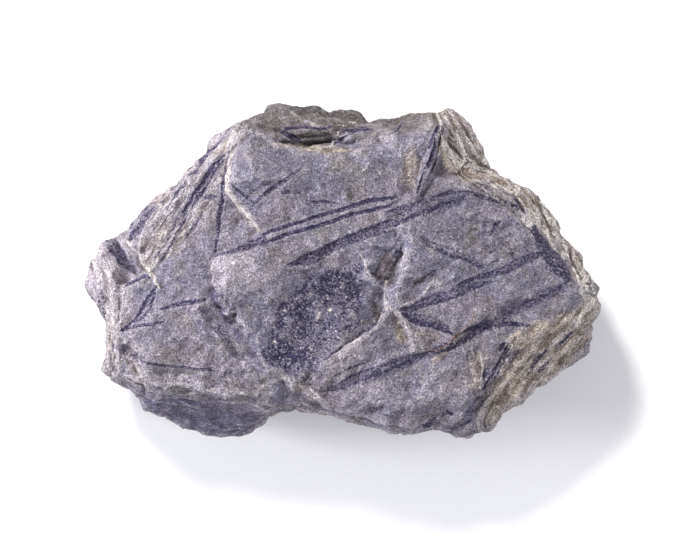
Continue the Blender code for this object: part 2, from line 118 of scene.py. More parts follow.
place = read_vectors(stone_mesh, "place")
normal = read_vectors(stone_mesh, "normal")
UPPER_FROM, MOST_OVERHANG = 6.0, -0.15  # the height and the normal's z that count as upper
upper = np.flatnonzero((normal[:, 2] > MOST_OVERHANG) & (place[:, 2] > UPPER_FROM))
plan = place[upper, :2].copy()
plan[:, 0] += 0.22 * noise_at(place[upper], 5.0, 11.0) + 0.10 * noise_at(place[upper], 1.3, 5.0)
plan[:, 1] += 0.22 * noise_at(place[upper], 5.0, 31.0) + 0.10 * noise_at(place[upper], 1.3, 7.0)
print(len(place), "points,", len(upper), "of them on the upper side")

# %% [markdown]
# ## Measuring from a line
#
# Every stem, crack and crest is drawn as a line of points, each with the half-width there. For
# each point of the stone we want three things: how far it is from the line counted in
# half-widths, so 1 is the line's edge, how far along the line it is, and how far across. The
# first makes the groove and the film, and the other two lay the fibres along the stem.


# %% Distance to a line, and to the inside of an outline
def smooth_step(low, high, value):
    t = np.clip((value - low) / (high - low), 0.0, 1.0)
    return t * t * (3.0 - 2.0 * t)


def measure_line(line, plan):
    """For each plan point: distance in half-widths, mm along and signed mm across the line."""
    best = np.full(len(plan), 1e9)
    spread, along, across = best.copy(), np.zeros(len(plan)), np.zeros(len(plan))
    done = 0.0
    for (ax, ay, a_half), (bx, by, b_half) in zip(line[:-1], line[1:]):
        step = np.array((bx - ax, by - ay))
        length = np.hypot(*step)
        rel = plan - (ax, ay)
        t = np.clip(rel @ step / length**2, 0.0, 1.0)
        away = np.hypot(*(rel - t[:, None] * step).T)
        closer = away < best
        side = np.sign(step[0] * rel[:, 1] - step[1] * rel[:, 0])
        best = np.where(closer, away, best)
        spread = np.where(closer, away / (a_half + t * (b_half - a_half)), spread)
        along = np.where(closer, done + t * length, along)
        across = np.where(closer, side * away, across)
        done += length
    return spread, along, across


def within(outline, plan, soft):
    """1 inside a closed outline, 0 outside, with a border of the given softness in mm."""
    ring = [(*p, 1.0) for p in outline + outline[:1]]
    away = np.abs(measure_line(ring, plan)[2])
    inside = np.zeros(len(plan), bool)
    for (ax, ay, _), (bx, by, _) in zip(ring[:-1], ring[1:]):
        if ay != by:
            crosses = (plan[:, 1] > ay) != (plan[:, 1] > by)
            inside ^= crosses & (plan[:, 0] < ax + (plan[:, 1] - ay) * (bx - ax) / (by - ay))
    return smooth_step(-soft, soft, np.where(inside, away, -away))


def blots(spots, plan):
    """The strongest of several soft ovals, each (x, y, reach along, reach across, turn, strength)."""
    total = np.zeros(len(plan))
    for x, y, reach, breadth, turn, strength in spots:
        c, s = np.cos(np.radians(turn)), np.sin(np.radians(turn))
        dx, dy = plan[:, 0] - x, plan[:, 1] - y
        away = np.hypot((dx * c + dy * s) / reach, (dy * c - dx * s) / breadth)
        total = np.maximum(total, strength * (1.0 - smooth_step(0.45, 1.25, away)))
    return total


# %% [markdown]
# ## The fern
#
# The plant lies as straps and stems that cross the face, most of them running from lower left to
# upper right. Each one is a carbon film in a shallow trough. A leaf with a pale midrib is two
# films side by side. The first number of an entry is how dark the film is, the second how deep
# its trough is in millimetres, and the list gives (x, y, half-width).

# %% Stems and blades
FERN = {
    # the fan at the upper left
    "rim_blade": (0.8, 0.2, [(-27.4, 35.5, 0.2), (-29.1, 33.7, 0.4), (-31.6, 30.5, 0.5),
        (-34.6, 26.9, 0.5), (-37.7, 23.3, 0.3)]),
    "rim_blade_end": (0.85, 0.25, [(-38.6, 22, 0.3), (-39.4, 20.9, 0.6), (-41, 18.6, 0.7),
        (-43.4, 14.7, 0.3)]),
    "spear": (1, 0.2, [(-29.3, 28.9, 0.2), (-31.4, 26.3, 0.4), (-33.4, 23.7, 0.5), (-35.6, 20.3, 0.5),
        (-38.4, 16.4, 0.45), (-39.6, 14.3, 0.35)]),
    "spear_band": (0.42, 0.14, [(-29.4, 28.2, 0.3), (-31, 25.9, 0.9), (-33, 23.3, 1.2),
        (-35.2, 19.9, 1.25), (-38, 16, 1.1), (-39.2, 13.9, 0.8)]),
    "spear_fade": (0.62, 0.12, [(-39.7, 14.9, 0.3), (-42.1, 10.5, 0.35), (-43.4, 7.5, 0.35),
        (-46.5, 2.3, 0.2)]),
    "spear_fade_2": (0.66, 0.12, [(-38.5, 14.2, 0.3), (-40.9, 9.8, 0.35), (-42.2, 6.8, 0.35),
        (-45.3, 1.6, 0.2)]),
    "spear_inner": (0.95, 0.16, [(-29.6, 27.4, 0.2), (-31.3, 24.9, 0.35), (-35.2, 18.6, 0.4),
        (-37.1, 15.5, 0.3)]),
    "fan_rib": (0.78, 0.2, [(-27.5, 31.1, 0.2), (-28.5, 26.9, 0.4), (-29.1, 23, 0.5), (-29.6, 18, 0.5),
        (-30.4, 13.8, 0.5), (-30.7, 11.1, 0.45), (-31.1, 7.4, 0.4), (-31.6, 4.1, 0.3)]),
    "fan_patch": (0.7, 0.1, [(-34, 18, 0.5), (-32.6, 18.1, 0.7), (-31.4, 18, 0.5)]),
    "fan_short": (0.62, 0.15, [(-34.8, 13.1, 0.3), (-37, 10.6, 0.5), (-39, 7.8, 0.3)]),
    "outer_thin": (0.8, 0.15, [(-47.1, 16.9, 0.2), (-48.8, 14.9, 0.4), (-51.3, 13, 0.4),
        (-52.4, 10.2, 0.3)]),
    "outer_trough": (0.7, 0.45, [(-46.8, 15.4, 0.3), (-49.3, 12.7, 0.9), (-51, 10.2, 1),
        (-52.7, 7.4, 0.6)]),
    # on the dome
    "dome_leaf": (0.62, 0.22, [(-9.6, 25.8, 0.2), (-12.9, 23, 0.45), (-16.8, 20.2, 0.55),
        (-19.6, 18.3, 0.55), (-22.1, 15.8, 0.3)]),
    "dome_blade": (0.6, 0.16, [(-28.3, 21.9, 0.3), (-25.3, 19.3, 0.4), (-21.8, 16.5, 0.25)]),
    "dome_spot": (0.6, 0.08, [(-14.8, 19.1, 0.4), (-13.8, 19.3, 0.6), (-12.8, 19.1, 0.3)]),
    "dome_spot_2": (0.6, 0.08, [(-11.8, 19.1, 0.4), (-10.6, 19.2, 0.6)]),
    "wavy_stem": (0.75, 0.12, [(-9, 17.2, 0.2), (-6.2, 16.6, 0.4), (-4.6, 16.9, 0.45),
        (-0.7, 16.3, 0.2)]),
    # the two long leaves across the middle
    "leaf_upper": (0.95, 0.2, [(-20, 8.3, 0.3), (-16.8, 9.7, 0.45), (-11.8, 11.3, 0.45),
        (-6.2, 13.1, 0.45), (0.4, 14.9, 0.5), (6, 16.8, 0.55), (9.9, 17.4, 0.55), (13.8, 18, 0.3)]),
    "leaf_lower": (1, 0.28, [(-20.1, 6.1, 0.35), (-14.6, 8.3, 0.5), (-9, 9.9, 0.5), (-3.4, 11.5, 0.5),
        (2.1, 13.5, 0.5), (5.7, 14.3, 0.5), (8.5, 14.9, 0.5), (11.6, 15.6, 0.4), (13.2, 16.6, 0.2)]),
    "leaf_tail": (0.66, 0.22, [(-19.2, 7.4, 0.7), (-22.9, 6.2, 1), (-25.7, 4.9, 0.9), (-28.4, 4.1, 0.5),
        (-31.4, 3.3, 0.3)]),
    "second_leaf": (0.66, 0.24, [(-13.9, 0.8, 0.3), (-10.9, 1.6, 0.7), (-7.5, 3.2, 1), (-4.6, 4.4, 1.1),
        (-0.5, 6.4, 1.2), (4.5, 8.3, 1.25), (7.9, 9.6, 1.2), (11.7, 11.3, 0.9), (14, 12.4, 0.5)]),
    "second_leaf_edge": (0.85, 0.2, [(-13.2, 1.2, 0.2), (-10.9, 2.1, 0.35), (-8, 3.7, 0.45),
        (-5, 5, 0.5), (-0.9, 7.1, 0.45), (4.1, 9, 0.45), (7.5, 10.3, 0.4), (11.4, 11.9, 0.3)]),
    "second_leaf_low": (0.6, 0.12, [(-9.4, 0.6, 0.2), (-6.2, 2.2, 0.4), (-3.2, 3.8, 0.2)]),
    "second_leaf_low_2": (0.65, 0.12, [(3.4, 7, 0.2), (8.5, 8.5, 0.4), (10.8, 9.2, 0.2)]),
    "second_leaf_far": (0.9, 0.18, [(13.2, 10.8, 0.3), (16.6, 12.4, 0.5), (19.6, 13.9, 0.55),
        (22.4, 14.8, 0.55), (25.2, 16.1, 0.5), (30.6, 17.8, 0.3)]),
    "wide_strap": (0.5, 0.12, [(11.5, 12.6, 0.6), (16.2, 13.8, 1.8), (20.2, 15, 2.3), (24, 16.3, 2.4),
        (28.1, 17.8, 2.2), (31.4, 18.6, 1.1)]),
    "strap_line": (0.78, 0.12, [(12.5, 14.6, 0.2), (16, 15.7, 0.3), (20, 16.9, 0.35),
        (23.6, 18.1, 0.35), (27.6, 19.6, 0.25)]),
    "strap_end": (0.7, 0.15, [(30.4, 19.4, 0.5), (34.9, 17.9, 0.5), (39.1, 16.9, 0.45),
        (40.8, 16.8, 0.4), (43.6, 15.2, 0.4)]),
    "strap_notch": (0.8, 0.15, [(10.6, 14, 0.3), (12.4, 14.5, 0.45), (14.3, 15.2, 0.3)]),
    # small stems on the right
    "right_line": (0.8, 0.15, [(22.4, 5.6, 0.3), (26.6, 3.6, 0.45), (30.4, 2.6, 0.45),
        (34.4, 0.6, 0.3)]),
    "right_line_band": (0.45, 0.06, [(20, 7.4, 0.7), (26, 4.6, 1.1), (31, 2.8, 1.1), (35, 0.8, 0.7)]),
    "right_thin": (0.6, 0.08, [(22.4, 9.3, 0.2), (25.4, 9.4, 0.3), (29.3, 10.2, 0.2)]),
    "right_short": (0.7, 0.1, [(36.9, 8.4, 0.3), (37.7, 9.9, 0.5), (39.7, 12.2, 0.3)]),
    "right_short_2": (0.6, 0.1, [(41.2, 6.8, 0.25), (42.5, 3.4, 0.3)]),
    "right_short_3": (0.6, 0.1, [(45.4, 5.6, 0.25), (46.8, 4.2, 0.3)]),
    "right_short_4": (0.6, 0.08, [(36.6, 1.4, 0.3), (38.8, 2.4, 0.3)]),
    "right_short_5": (0.6, 0.08, [(36.6, 4, 0.3), (38.2, 4.8, 0.3)]),
    "right_blade": (0.7, 0.15, [(34.6, -2, 0.5), (38, -0.9, 0.9), (41, 0.1, 1.2), (44, 1.6, 1.25),
        (47, 3, 1.1), (49.6, 4, 0.6)]),
    # from the pale ridge to the right
    "blade_one": (0.7, 0.22, [(14.4, -10.2, 0.3), (16.5, -10, 0.8), (19.8, -8.4, 1.15), (24, -7, 1.2),
        (26.8, -6.3, 1.2), (30.9, -5.1, 1.1), (33.7, -3.9, 0.9), (37.2, -3, 0.4)]),
    "blade_one_edge": (0.9, 0.12, [(16, -10.5, 0.25), (19.8, -9.4, 0.35), (24.2, -8, 0.35),
        (27.2, -7.1, 0.35), (31, -6, 0.3)]),
    "blade_one_top": (0.8, 0.15, [(28.6, -4.2, 0.3), (31.4, -2.8, 0.6), (34.4, -1.5, 0.4)]),
    "blade_two": (1, 0.28, [(14.7, -10.6, 0.3), (17.1, -12.7, 0.6), (19.6, -13.5, 0.75),
        (22.4, -14, 0.7), (25.2, -15, 0.5), (28.2, -16.1, 0.25)]),
    "blade_two_band": (0.55, 0.1, [(16, -10.9, 0.5), (19.4, -12.2, 1), (23, -13, 1),
        (26.4, -14.4, 0.5)]),
    "tongue_blade": (0.45, 0.22, [(11.4, -10.2, 0.3), (8.8, -13.2, 0.6), (5.7, -15.7, 0.7),
        (1.6, -18.4, 0.7), (-4, -22.6, 0.4)]),
    "long_blade": (0.56, 0.2, [(-3, -30, 0.6), (0.2, -28.9, 1.4), (4.3, -27.1, 1.7), (7.7, -25.8, 1.7),
        (11.6, -24.4, 1.7), (15.4, -23, 1.5), (18.2, -21.9, 1.2), (20.6, -20.9, 0.6)]),
    "long_blade_edge": (0.85, 0.12, [(-2, -30.3, 0.2), (0.4, -29.3, 0.35), (4.6, -27.7, 0.4),
        (8, -26.5, 0.4), (11.8, -25, 0.4), (15.6, -23.6, 0.35), (18.6, -22.4, 0.25)]),
    "long_blade_top": (0.8, 0.1, [(1, -27.4, 0.2), (4, -26.2, 0.3), (7.4, -25, 0.35),
        (11.2, -23.7, 0.35), (15, -22.2, 0.3), (18, -21, 0.2)]),
    "long_blade_mid": (0.66, 0.18, [(22.2, -20.2, 0.5), (26.2, -19, 1.2), (30, -17.1, 1.5),
        (32.8, -15.4, 1.7), (35.6, -14, 1.5)]),
    "long_mid_edge": (0.85, 0.1, [(22.8, -20.8, 0.25), (26.7, -19.9, 0.35), (30.5, -18.1, 0.35),
        (33.3, -16.4, 0.35)]),
    "long_blade_far": (0.55, 0.18, [(34.8, -15, 1), (38, -13.2, 1.5), (40.5, -11.4, 1.6),
        (44.7, -9.2, 1.5), (47.4, -7.9, 1.5), (51.6, -6.2, 1.4), (55.8, -4.3, 1.2), (59, -2.8, 0.7)]),
    "long_far_line": (0.85, 0.12, [(37.2, -13.6, 0.3), (40.5, -11.4, 0.4), (44.7, -9.2, 0.4),
        (47.4, -7.9, 0.4), (51.6, -6.2, 0.35), (55.8, -4.3, 0.3)]),
    "wedge": (1, 0.25, [(30.4, -15.7, 0.3), (33.6, -14.3, 0.6), (35.9, -13.7, 0.3)]),
    "wedge_low": (1, 0.25, [(34.5, -15.5, 0.3), (36, -14.6, 0.5), (37.6, -13.8, 0.3)]),
    "wedge_far": (0.85, 0.25, [(37.6, -14, 0.3), (41.3, -13.5, 0.6), (43.6, -13.9, 0.65),
        (46.9, -14.1, 0.25)]),
    "red_line": (0.6, 0.1, [(-2.3, -27.1, 0.25), (1.6, -24.8, 0.35), (5.7, -23.2, 0.25)]),
    # lower right
    "slit": (1, 0.5, [(41.7, -18.3, 0.2), (39.3, -23.1, 0.38), (37.3, -26.5, 0.38),
        (34.9, -30.1, 0.2)]),
    "slit_band": (0.22, 0.15, [(43.3, -17.4, 0.4), (40.5, -22.9, 0.75), (38, -27.6, 0.75),
        (36.3, -30.8, 0.5)]),
    "corner_band": (0.55, 0.2, [(36, -31.6, 0.6), (34.9, -32.9, 1.2), (32.7, -35.4, 1.5),
        (30.4, -37.6, 1.5), (27.2, -40.3, 1)]),
    "lens": (1, 0.3, [(40.7, -17.9, 0.25), (40, -19.2, 0.55), (39.3, -20.6, 0.25)]),
    "lens_low": (0.75, 0.3, [(36.8, -24.8, 0.25), (36, -26.1, 0.6), (35.1, -27.5, 0.25)]),
    "lens_flank": (1, 0.3, [(57.6, -15.6, 0.25), (56, -17.2, 0.5), (54.1, -19.3, 0.3)]),
    "lens_front": (0.9, 0.2, [(26, -35.3, 0.3), (27.4, -36.1, 0.5)]),
    "smear": (0.7, 0.12, [(50.8, -20.4, 0.4), (48.6, -22.6, 0.7), (47.2, -24.8, 0.4)]),
    "smear_2": (0.7, 0.12, [(52, -22.6, 0.3), (50.2, -24.2, 0.6), (49, -25.6, 0.3)]),
    "front_wedge": (0.8, 0.15, [(20.6, -39.2, 0.3), (22, -38.3, 0.6), (23.4, -37.4, 0.25)]),
    # left
    "left_thin": (0.8, 0.15, [(-50.2, -22.9, 0.25), (-46.6, -23.6, 0.35), (-42.4, -24.2, 0.4),
        (-38.2, -24.6, 0.4), (-34.1, -25, 0.3), (-31.4, -25.4, 0.2)]),
    "narrow_leaf": (0.95, 0.2, [(-45.7, -3.7, 0.3), (-48.2, -7.1, 0.45), (-49.9, -9.9, 0.45),
        (-51.3, -12.4, 0.35), (-54.8, -15, 0.25)]),
    "narrow_leaf_right": (0.8, 0.15, [(-46.4, -5.8, 0.2), (-46.9, -7.2, 0.35), (-48.9, -11.3, 0.35),
        (-51.6, -13.4, 0.2)]),
    "leaf_base": (0.75, 0.12, [(-55, -15.2, 0.3), (-50.4, -14.1, 0.4), (-46.6, -13.5, 0.35),
        (-44.2, -13.1, 0.2)]),
    "left_blade": (0.85, 0.18, [(-33.8, -7.6, 0.3), (-36.8, -8.1, 0.6), (-39.8, -8.5, 0.6),
        (-42, -9.1, 0.5), (-45.2, -10, 0.3)]),
    "left_black": (1, 0.3, [(-53.8, -4.5, 0.25), (-51, -2.7, 0.4), (-49.1, -1.6, 0.45),
        (-47.6, -2.2, 0.25)]),
    "left_streak": (0.22, 0.12, [(-35.2, -9.6, 0.7), (-33, -12, 1.2), (-31, -14.4, 1.3),
        (-28.4, -18, 1.2), (-25.8, -22.2, 0.9)]),
    "left_stripe": (0.5, 0.12, [(-56.6, -19.2, 0.8), (-53.8, -20.3, 1.1), (-51.2, -21.7, 0.8)]),
    "left_flank": (0.4, 0.12, [(-60.4, -5.4, 0.6), (-60.2, -9, 0.8), (-59.4, -12.8, 0.6)]),
    "scoop_film": (0.6, 0.25, [(-58.8, 7.8, 0.7), (-57, 5.4, 1.7), (-54.9, 2.8, 1.8),
        (-52.6, 0.2, 1.2)]),
    # along the top
    "ledge_line": (0.9, 0.25, [(-14.4, 35, 0.25), (-11, 35.4, 0.4), (-8.7, 35.5, 0.4),
        (-4.8, 34.9, 0.4), (-2.9, 35.2, 0.25)]),
    "ledge_lens": (0.8, 0.2, [(-15.2, 34.2, 0.3), (-12.6, 33.2, 0.8), (-9.8, 31.9, 0.3)]),
    "ledge_band": (0.85, 0.25, [(0.2, 34.6, 0.3), (4, 34.8, 0.6), (7.8, 34.9, 0.3)]),
    "fin_slot": (1, 0.35, [(-2, 30.9, 0.2), (-0.6, 32, 0.4), (1.2, 33.3, 0.2)]),
    "peak_lens": (0.8, 0.15, [(12, 35.9, 0.25), (12.9, 36.1, 0.4), (13.6, 36.1, 0.2)]),
    "peak_line": (0.6, 0.12, [(13.2, 33.6, 0.2), (15.4, 36.1, 0.3), (20.4, 38, 0.2)]),
    "cleft_left": (1.1, 0.4, [(23.9, 35.7, 0.3), (22.9, 33.2, 0.5), (21.7, 29.8, 0.3)]),
    "cleft_main": (1.1, 0.8, [(23.5, 32, 0.25), (23.3, 31.2, 0.35), (22.5, 28.1, 0.4),
        (21.2, 25.5, 0.4), (20, 22.7, 0.35), (18.7, 18.5, 0.2)]),
    "cleft_blade": (0.45, 0.05, [(26.1, 37.4, 0.4), (25.2, 35.2, 0.8), (23.9, 32.2, 0.5)]),
    "right_patch": (1, 0.15, [(47.2, 10, 0.4), (49.6, 6.2, 1.3), (52.2, 2.8, 2.1), (55, -0.6, 1.9),
        (56.8, -2.8, 0.5)]),
    "right_patch_core": (1.3, 0.2, [(48.6, 8.2, 0.3), (51.2, 4.2, 1.3), (53.6, 1.2, 1.7),
        (55.6, -1.4, 0.6)]),
    "flank_slot": (1, 0.4, [(42.4, 18.2, 0.25), (43.8, 16.2, 0.5), (45.2, 14, 0.25)]),
}

# %% Carve the troughs, and mark what the films cover
FAR_OFF = 4.0  # half-widths from a line, past which nothing of it shows
reach = np.full(len(plan), FAR_OFF)
fibre = np.zeros((len(plan), 3))  # along, across, darkness of the strongest film at each point
core = np.zeros(len(plan))
trough = np.zeros(len(plan))
strongest = np.full(len(plan), -1e9)
for darkness, depth, line in FERN.values():
    spread, along, across = measure_line(line, plan)
    trough -= depth * (1.0 - smooth_step(0.2, 1.15, spread))
    trough += 0.4 * depth * np.exp(-(((spread - 1.45) / 0.3) ** 2))
    strength = np.where(spread < 1.5, darkness * (1.5 - spread), 1.5 - spread)
    wins = strength > strongest
    strongest = np.where(wins, strength, strongest)
    reach = np.where(wins, np.minimum(spread, FAR_OFF), reach)
    fibre[wins] = np.stack([along, across, np.full(len(plan), darkness)], 1)[wins]
    half_width = np.abs(across) / np.maximum(spread, 0.05)
    pale_middle = smooth_step(0.75, 1.15, half_width) * (1.0 - smooth_step(0.15, 0.75, spread))
    core[wins] = pale_middle[wins]
covered = round(100 * float(np.mean(reach < 1.0)), 1)
print(len(FERN), "stems and blades over", covered, "% of the upper points")

# %% [markdown]
# ## Pale crests with painted highlight, and cracks with painted shadow
#
# Where a bed of shale breaks off, its edge is bruised to a pale line, and the same pale line is
# painted highlight on edges that catch the light. These lines are what makes the ledges read from
# straight above, where a step has almost no area of its own. Hairline cracks do the opposite: too
# narrow for a film, they only hold shadow, and that shadow is painted into them as a dark line.

# %% Crest lines and cracks, as (x, y, half-width)
CRESTS = {
    "dome_edge": (0.95, [(-26.5, 33.8, 0.42), (-27.2, 31.9, 0.56), (-27.3, 29.7, 0.56),
        (-27.8, 26.3, 0.56), (-28, 23.6, 0.56), (-28.4, 21.3, 0.56), (-28.2, 19.7, 0.56),
        (-26.8, 17.7, 0.56), (-25.4, 15.8, 0.56), (-23.7, 13.8, 0.56), (-22.1, 12.2, 0.56),
        (-20.9, 10.5, 0.42), (-20.3, 8.8, 0.28)]),
    "face_top": (0.6, [(-24.6, 34.9, 0.3), (-22.3, 34.4, 0.5), (-19.8, 33.3, 0.5), (-18.4, 31.9, 0.5),
        (-15.9, 31.1, 0.5), (-14, 30.8, 0.5), (-11.8, 30.1, 0.5), (-9.4, 29.6, 0.5), (-6.2, 29.9, 0.5),
        (-3.4, 30.1, 0.5), (-0.7, 30.4, 0.5), (2.1, 30.6, 0.4), (6, 31.1, 0.3)]),
    "ledge_crest": (0.6, [(-10.8, 37.6, 0.3), (-10.1, 37.2, 0.5), (-8.2, 36.2, 0.5),
        (-4.6, 35.7, 0.3)]),
    "ledge_rib": (0.5, [(-13.4, 39.6, 0.3), (-11.4, 38, 0.5), (-9.6, 36.6, 0.3)]),
    "ledge_strip": (0.7, [(-0.9, 35.5, 0.3), (1.8, 36.2, 0.6), (4.5, 36.9, 0.3)]),
    "fin": (0.8, [(-2.4, 30.4, 0.2), (-1.6, 32.1, 0.35), (-0.8, 34, 0.2)]),
    "left_crest": (1.1, [(-53.2, 6.8, 0.36), (-52.6, 6, 0.48), (-50.5, 3.5, 0.6), (-48.6, 0.5, 0.6),
        (-46.6, -2.8, 0.6), (-45.2, -4.9, 0.36)]),
    "shoulder": (0.85, [(-56.6, -11.4, 0.3), (-56.3, -15, 0.45), (-56.4, -20, 0.45),
        (-56.2, -24.2, 0.3)]),
    "corner_crest": (0.6, [(-54.3, -14.9, 0.3), (-52.1, -17.7, 0.4), (-49.9, -20.4, 0.4),
        (-50.2, -23.2, 0.4), (-47.9, -26.8, 0.3)]),
    "front_rim": (0.45, [(-55.7, -26, 0.3), (-52, -27.4, 0.4), (-49.3, -28.1, 0.4), (-45.2, -28.9, 0.4),
        (-42, -30.6, 0.4), (-39.6, -31.2, 0.4), (-35.4, -30.7, 0.4), (-32.3, -30.1, 0.5),
        (-30.4, -30.9, 0.5), (-29, -31.5, 0.5), (-27.9, -30.7, 0.4), (-24.6, -30.7, 0.4),
        (-22.3, -31.8, 0.4), (-20.4, -32.9, 0.3)]),
    "lump_edge": (0.5, [(-21, 5.6, 0.2), (-25.4, 4.2, 0.35), (-29.8, 3.2, 0.4), (-32.2, -0.9, 0.4),
        (-31.9, -4.6, 0.35), (-29.6, -8.6, 0.4), (-29.3, -10.4, 0.35), (-26.2, -11.2, 0.35),
        (-25.5, -13.4, 0.4), (-22.9, -14.8, 0.4), (-20.9, -17.9, 0.35), (-20.1, -19.3, 0.2)]),
    "pit_rim": (0.7, [(4, 4.8, 0.2), (4.3, 4.3, 0.35), (5.4, 2.9, 0.4), (6.6, -0.9, 0.4),
        (7.1, -2.4, 0.25)]),
    "ridge": (0.7, [(13.4, 2.6, 0.25), (12.8, 0.4, 0.35), (11.6, -2.3, 0.4), (10.7, -5.1, 0.4),
        (11, -7.3, 0.4), (11.8, -9.6, 0.35)]),
    "ridge_branch": (0.7, [(11.8, -9.6, 0.35), (10.4, -11.8, 0.35), (8.2, -14.6, 0.3),
        (5.2, -17.1, 0.3), (1.6, -19.6, 0.3), (-4, -23.4, 0.2)]),
    "apron_edge": (0.65, [(11.9, -9.4, 0.4), (12.7, -9.8, 0.45), (14.9, -12.1, 0.45),
        (16.6, -15.1, 0.4), (17.4, -18.2, 0.35), (18.2, -19.8, 0.2)]),
    "apron_rib": (0.5, [(18.6, -14.8, 0.2), (20, -17.2, 0.4), (20.6, -18.6, 0.2)]),
    "table_line": (0.7, [(13.4, -9.8, 0.3), (17.1, -8.2, 0.3), (20.4, -5.9, 0.3), (22.4, -3.7, 0.3),
        (23.1, -2, 0.2)]),
    "layer_edge": (0.6, [(33.2, -10.6, 0.2), (32.2, -13.2, 0.4), (29.3, -15.9, 0.45),
        (26.6, -18.4, 0.45), (23.8, -20.1, 0.45), (20.4, -19.9, 0.3)]),
    "leaf_light": (0.5, [(-21.8, 14.9, 0.2), (-19.3, 17.2, 0.3), (-16.4, 19.2, 0.3), (-12.4, 22.1, 0.3),
        (-9.4, 24.9, 0.2)]),
    "second_leaf_light": (0.5, [(-13.2, -0.1, 0.2), (-9, 0, 0.25), (-5.6, 1.7, 0.25),
        (-2.4, 3.4, 0.2)]),
    "fan_light": (0.5, [(-38, 12.2, 0.2), (-41.3, 6.9, 0.3), (-43.8, 2.4, 0.2)]),
    "fan_light_2": (0.6, [(-38.9, 21.6, 0.2), (-42.6, 14.2, 0.35), (-45.2, 11.4, 0.2)]),
    "spear_light": (0.5, [(-30.6, 28.6, 0.2), (-34.6, 23.8, 0.3), (-37, 20.2, 0.3), (-40.2, 15, 0.2)]),
    "notch_crack": (0.6, [(8.3, 11.7, 0.2), (9.2, 12.8, 0.3), (10.1, 14, 0.2)]),
    "scratch": (0.8, [(18, 6.4, 0.15), (19.8, 8.4, 0.25), (21.5, 10.3, 0.15)]),
    "scratch_2": (0.5, [(19.4, 6, 0.15), (21, 7.8, 0.2), (22, 9, 0.1)]),
    "chip_crest": (0.8, [(-8, -29.8, 0.25), (-4.8, -32.6, 0.4), (-3.6, -34.8, 0.25)]),
    "front_arc": (0.5, [(4.8, -29.8, 0.2), (2.4, -32.1, 0.35), (2.9, -35.1, 0.35), (4.2, -36.7, 0.2)]),
    "flank_strip": (1, [(63.6, -6.8, 0.6), (60.8, -10.4, 0.9), (58, -14.3, 0.8), (56.8, -15.4, 0.5)]),
    "flank_thin": (0.6, [(57, -15.4, 0.4), (51.1, -23.4, 0.35), (47.8, -26.2, 0.2)]),
    "right_rim": (0.6, [(44.3, 19.4, 0.24), (46.9, 16.6, 0.38), (48.6, 13, 0.38), (50.2, 9.7, 0.38),
        (52.2, 6.6, 0.38), (54.4, 4.1, 0.38), (56.5, 2.8, 0.24)]),
    "right_rim_low": (0.7, [(57.3, 6.3, 0.24), (58.3, 2.4, 0.38), (58.6, 0.4, 0.38), (59.7, -3.7, 0.38),
        (61.4, -6, 0.24)]),
    "rib_light": (0.5, [(-28.3, 31.1, 0.15), (-29.3, 26.9, 0.25), (-29.9, 23, 0.25), (-30.4, 18, 0.25),
        (-31.2, 13.8, 0.25), (-31.6, 10, 0.15)]),
    "flank_ridge_1": (1, [(41.5, 20.5, 0.22), (44.6, 17.2, 0.32), (47.5, 13.5, 0.37), (50.5, 9.5, 0.37),
        (52.5, 5.5, 0.32), (56, 2, 0.22)]),
    "flank_ridge_2": (1, [(40.4, 22.6, 0.22), (44, 20, 0.32), (48, 16, 0.37), (50, 12, 0.37),
        (51.2, 8, 0.32), (52.4, 5.6, 0.22)]),
    "flank_ridge_3": (1, [(38, 24.8, 0.22), (43, 22.6, 0.32), (48.4, 18.4, 0.32), (51.6, 13.6, 0.32),
        (53.6, 9.2, 0.22)]),
    "flank_ridge_4": (1, [(54, 11.6, 0.27), (55.4, 8, 0.37), (56.4, 4, 0.43), (58, 0, 0.43),
        (60, -4, 0.43), (61.5, -6, 0.27)]),
    "flank_ridge_5": (0.7, [(33.6, 26.6, 0.2), (38.2, 23.4, 0.3), (41.4, 21.2, 0.2)]),
    "peak_ridge_1": (0.9, [(25.6, 37.8, 0.3), (28.4, 33, 0.45), (30.6, 28.6, 0.45), (33.2, 26.2, 0.3)]),
    "peak_ridge_2": (0.9, [(27.4, 38, 0.3), (30.6, 32.6, 0.45), (32.6, 28.6, 0.3)]),
    "peak_ridge_3": (0.9, [(24.8, 31.6, 0.3), (26.6, 28.4, 0.45), (30.2, 25.8, 0.45), (34, 24.4, 0.3)]),
    "slit_light": (1, [(42.6, -18.8, 0.2), (40.6, -23.8, 0.3), (38.6, -27.2, 0.3), (36.2, -31, 0.2)]),
    "bevel_ridge_1": (0.6, [(56, -14.6, 0.2), (50.2, -20, 0.3), (45.4, -26.4, 0.3), (41.4, -32, 0.2)]),
    "bevel_ridge_2": (0.55, [(59.6, -17, 0.2), (53.4, -22.8, 0.3), (47.8, -29, 0.3),
        (42.6, -35.4, 0.2)]),
    "bevel_ridge_3": (0.5, [(45.6, -18.4, 0.2), (43.4, -23, 0.3), (40.8, -28.6, 0.3),
        (37.8, -34, 0.2)]),
    "cleft_rim": (0.45, [(24.6, 36.6, 0.2), (22.9, 34.6, 0.3), (21, 31, 0.35), (20.3, 27, 0.35),
        (18.9, 22.6, 0.35), (17.9, 19, 0.25)]),
    "cleft_far": (0.4, [(26.2, 34.2, 0.2), (24.9, 30.6, 0.4), (23.8, 27.6, 0.25)]),
    "lobe_rim": (0.5, [(14.6, 30.4, 0.2), (14.4, 26, 0.3), (15.2, 21.4, 0.3), (17.1, 18.8, 0.3)]),
}
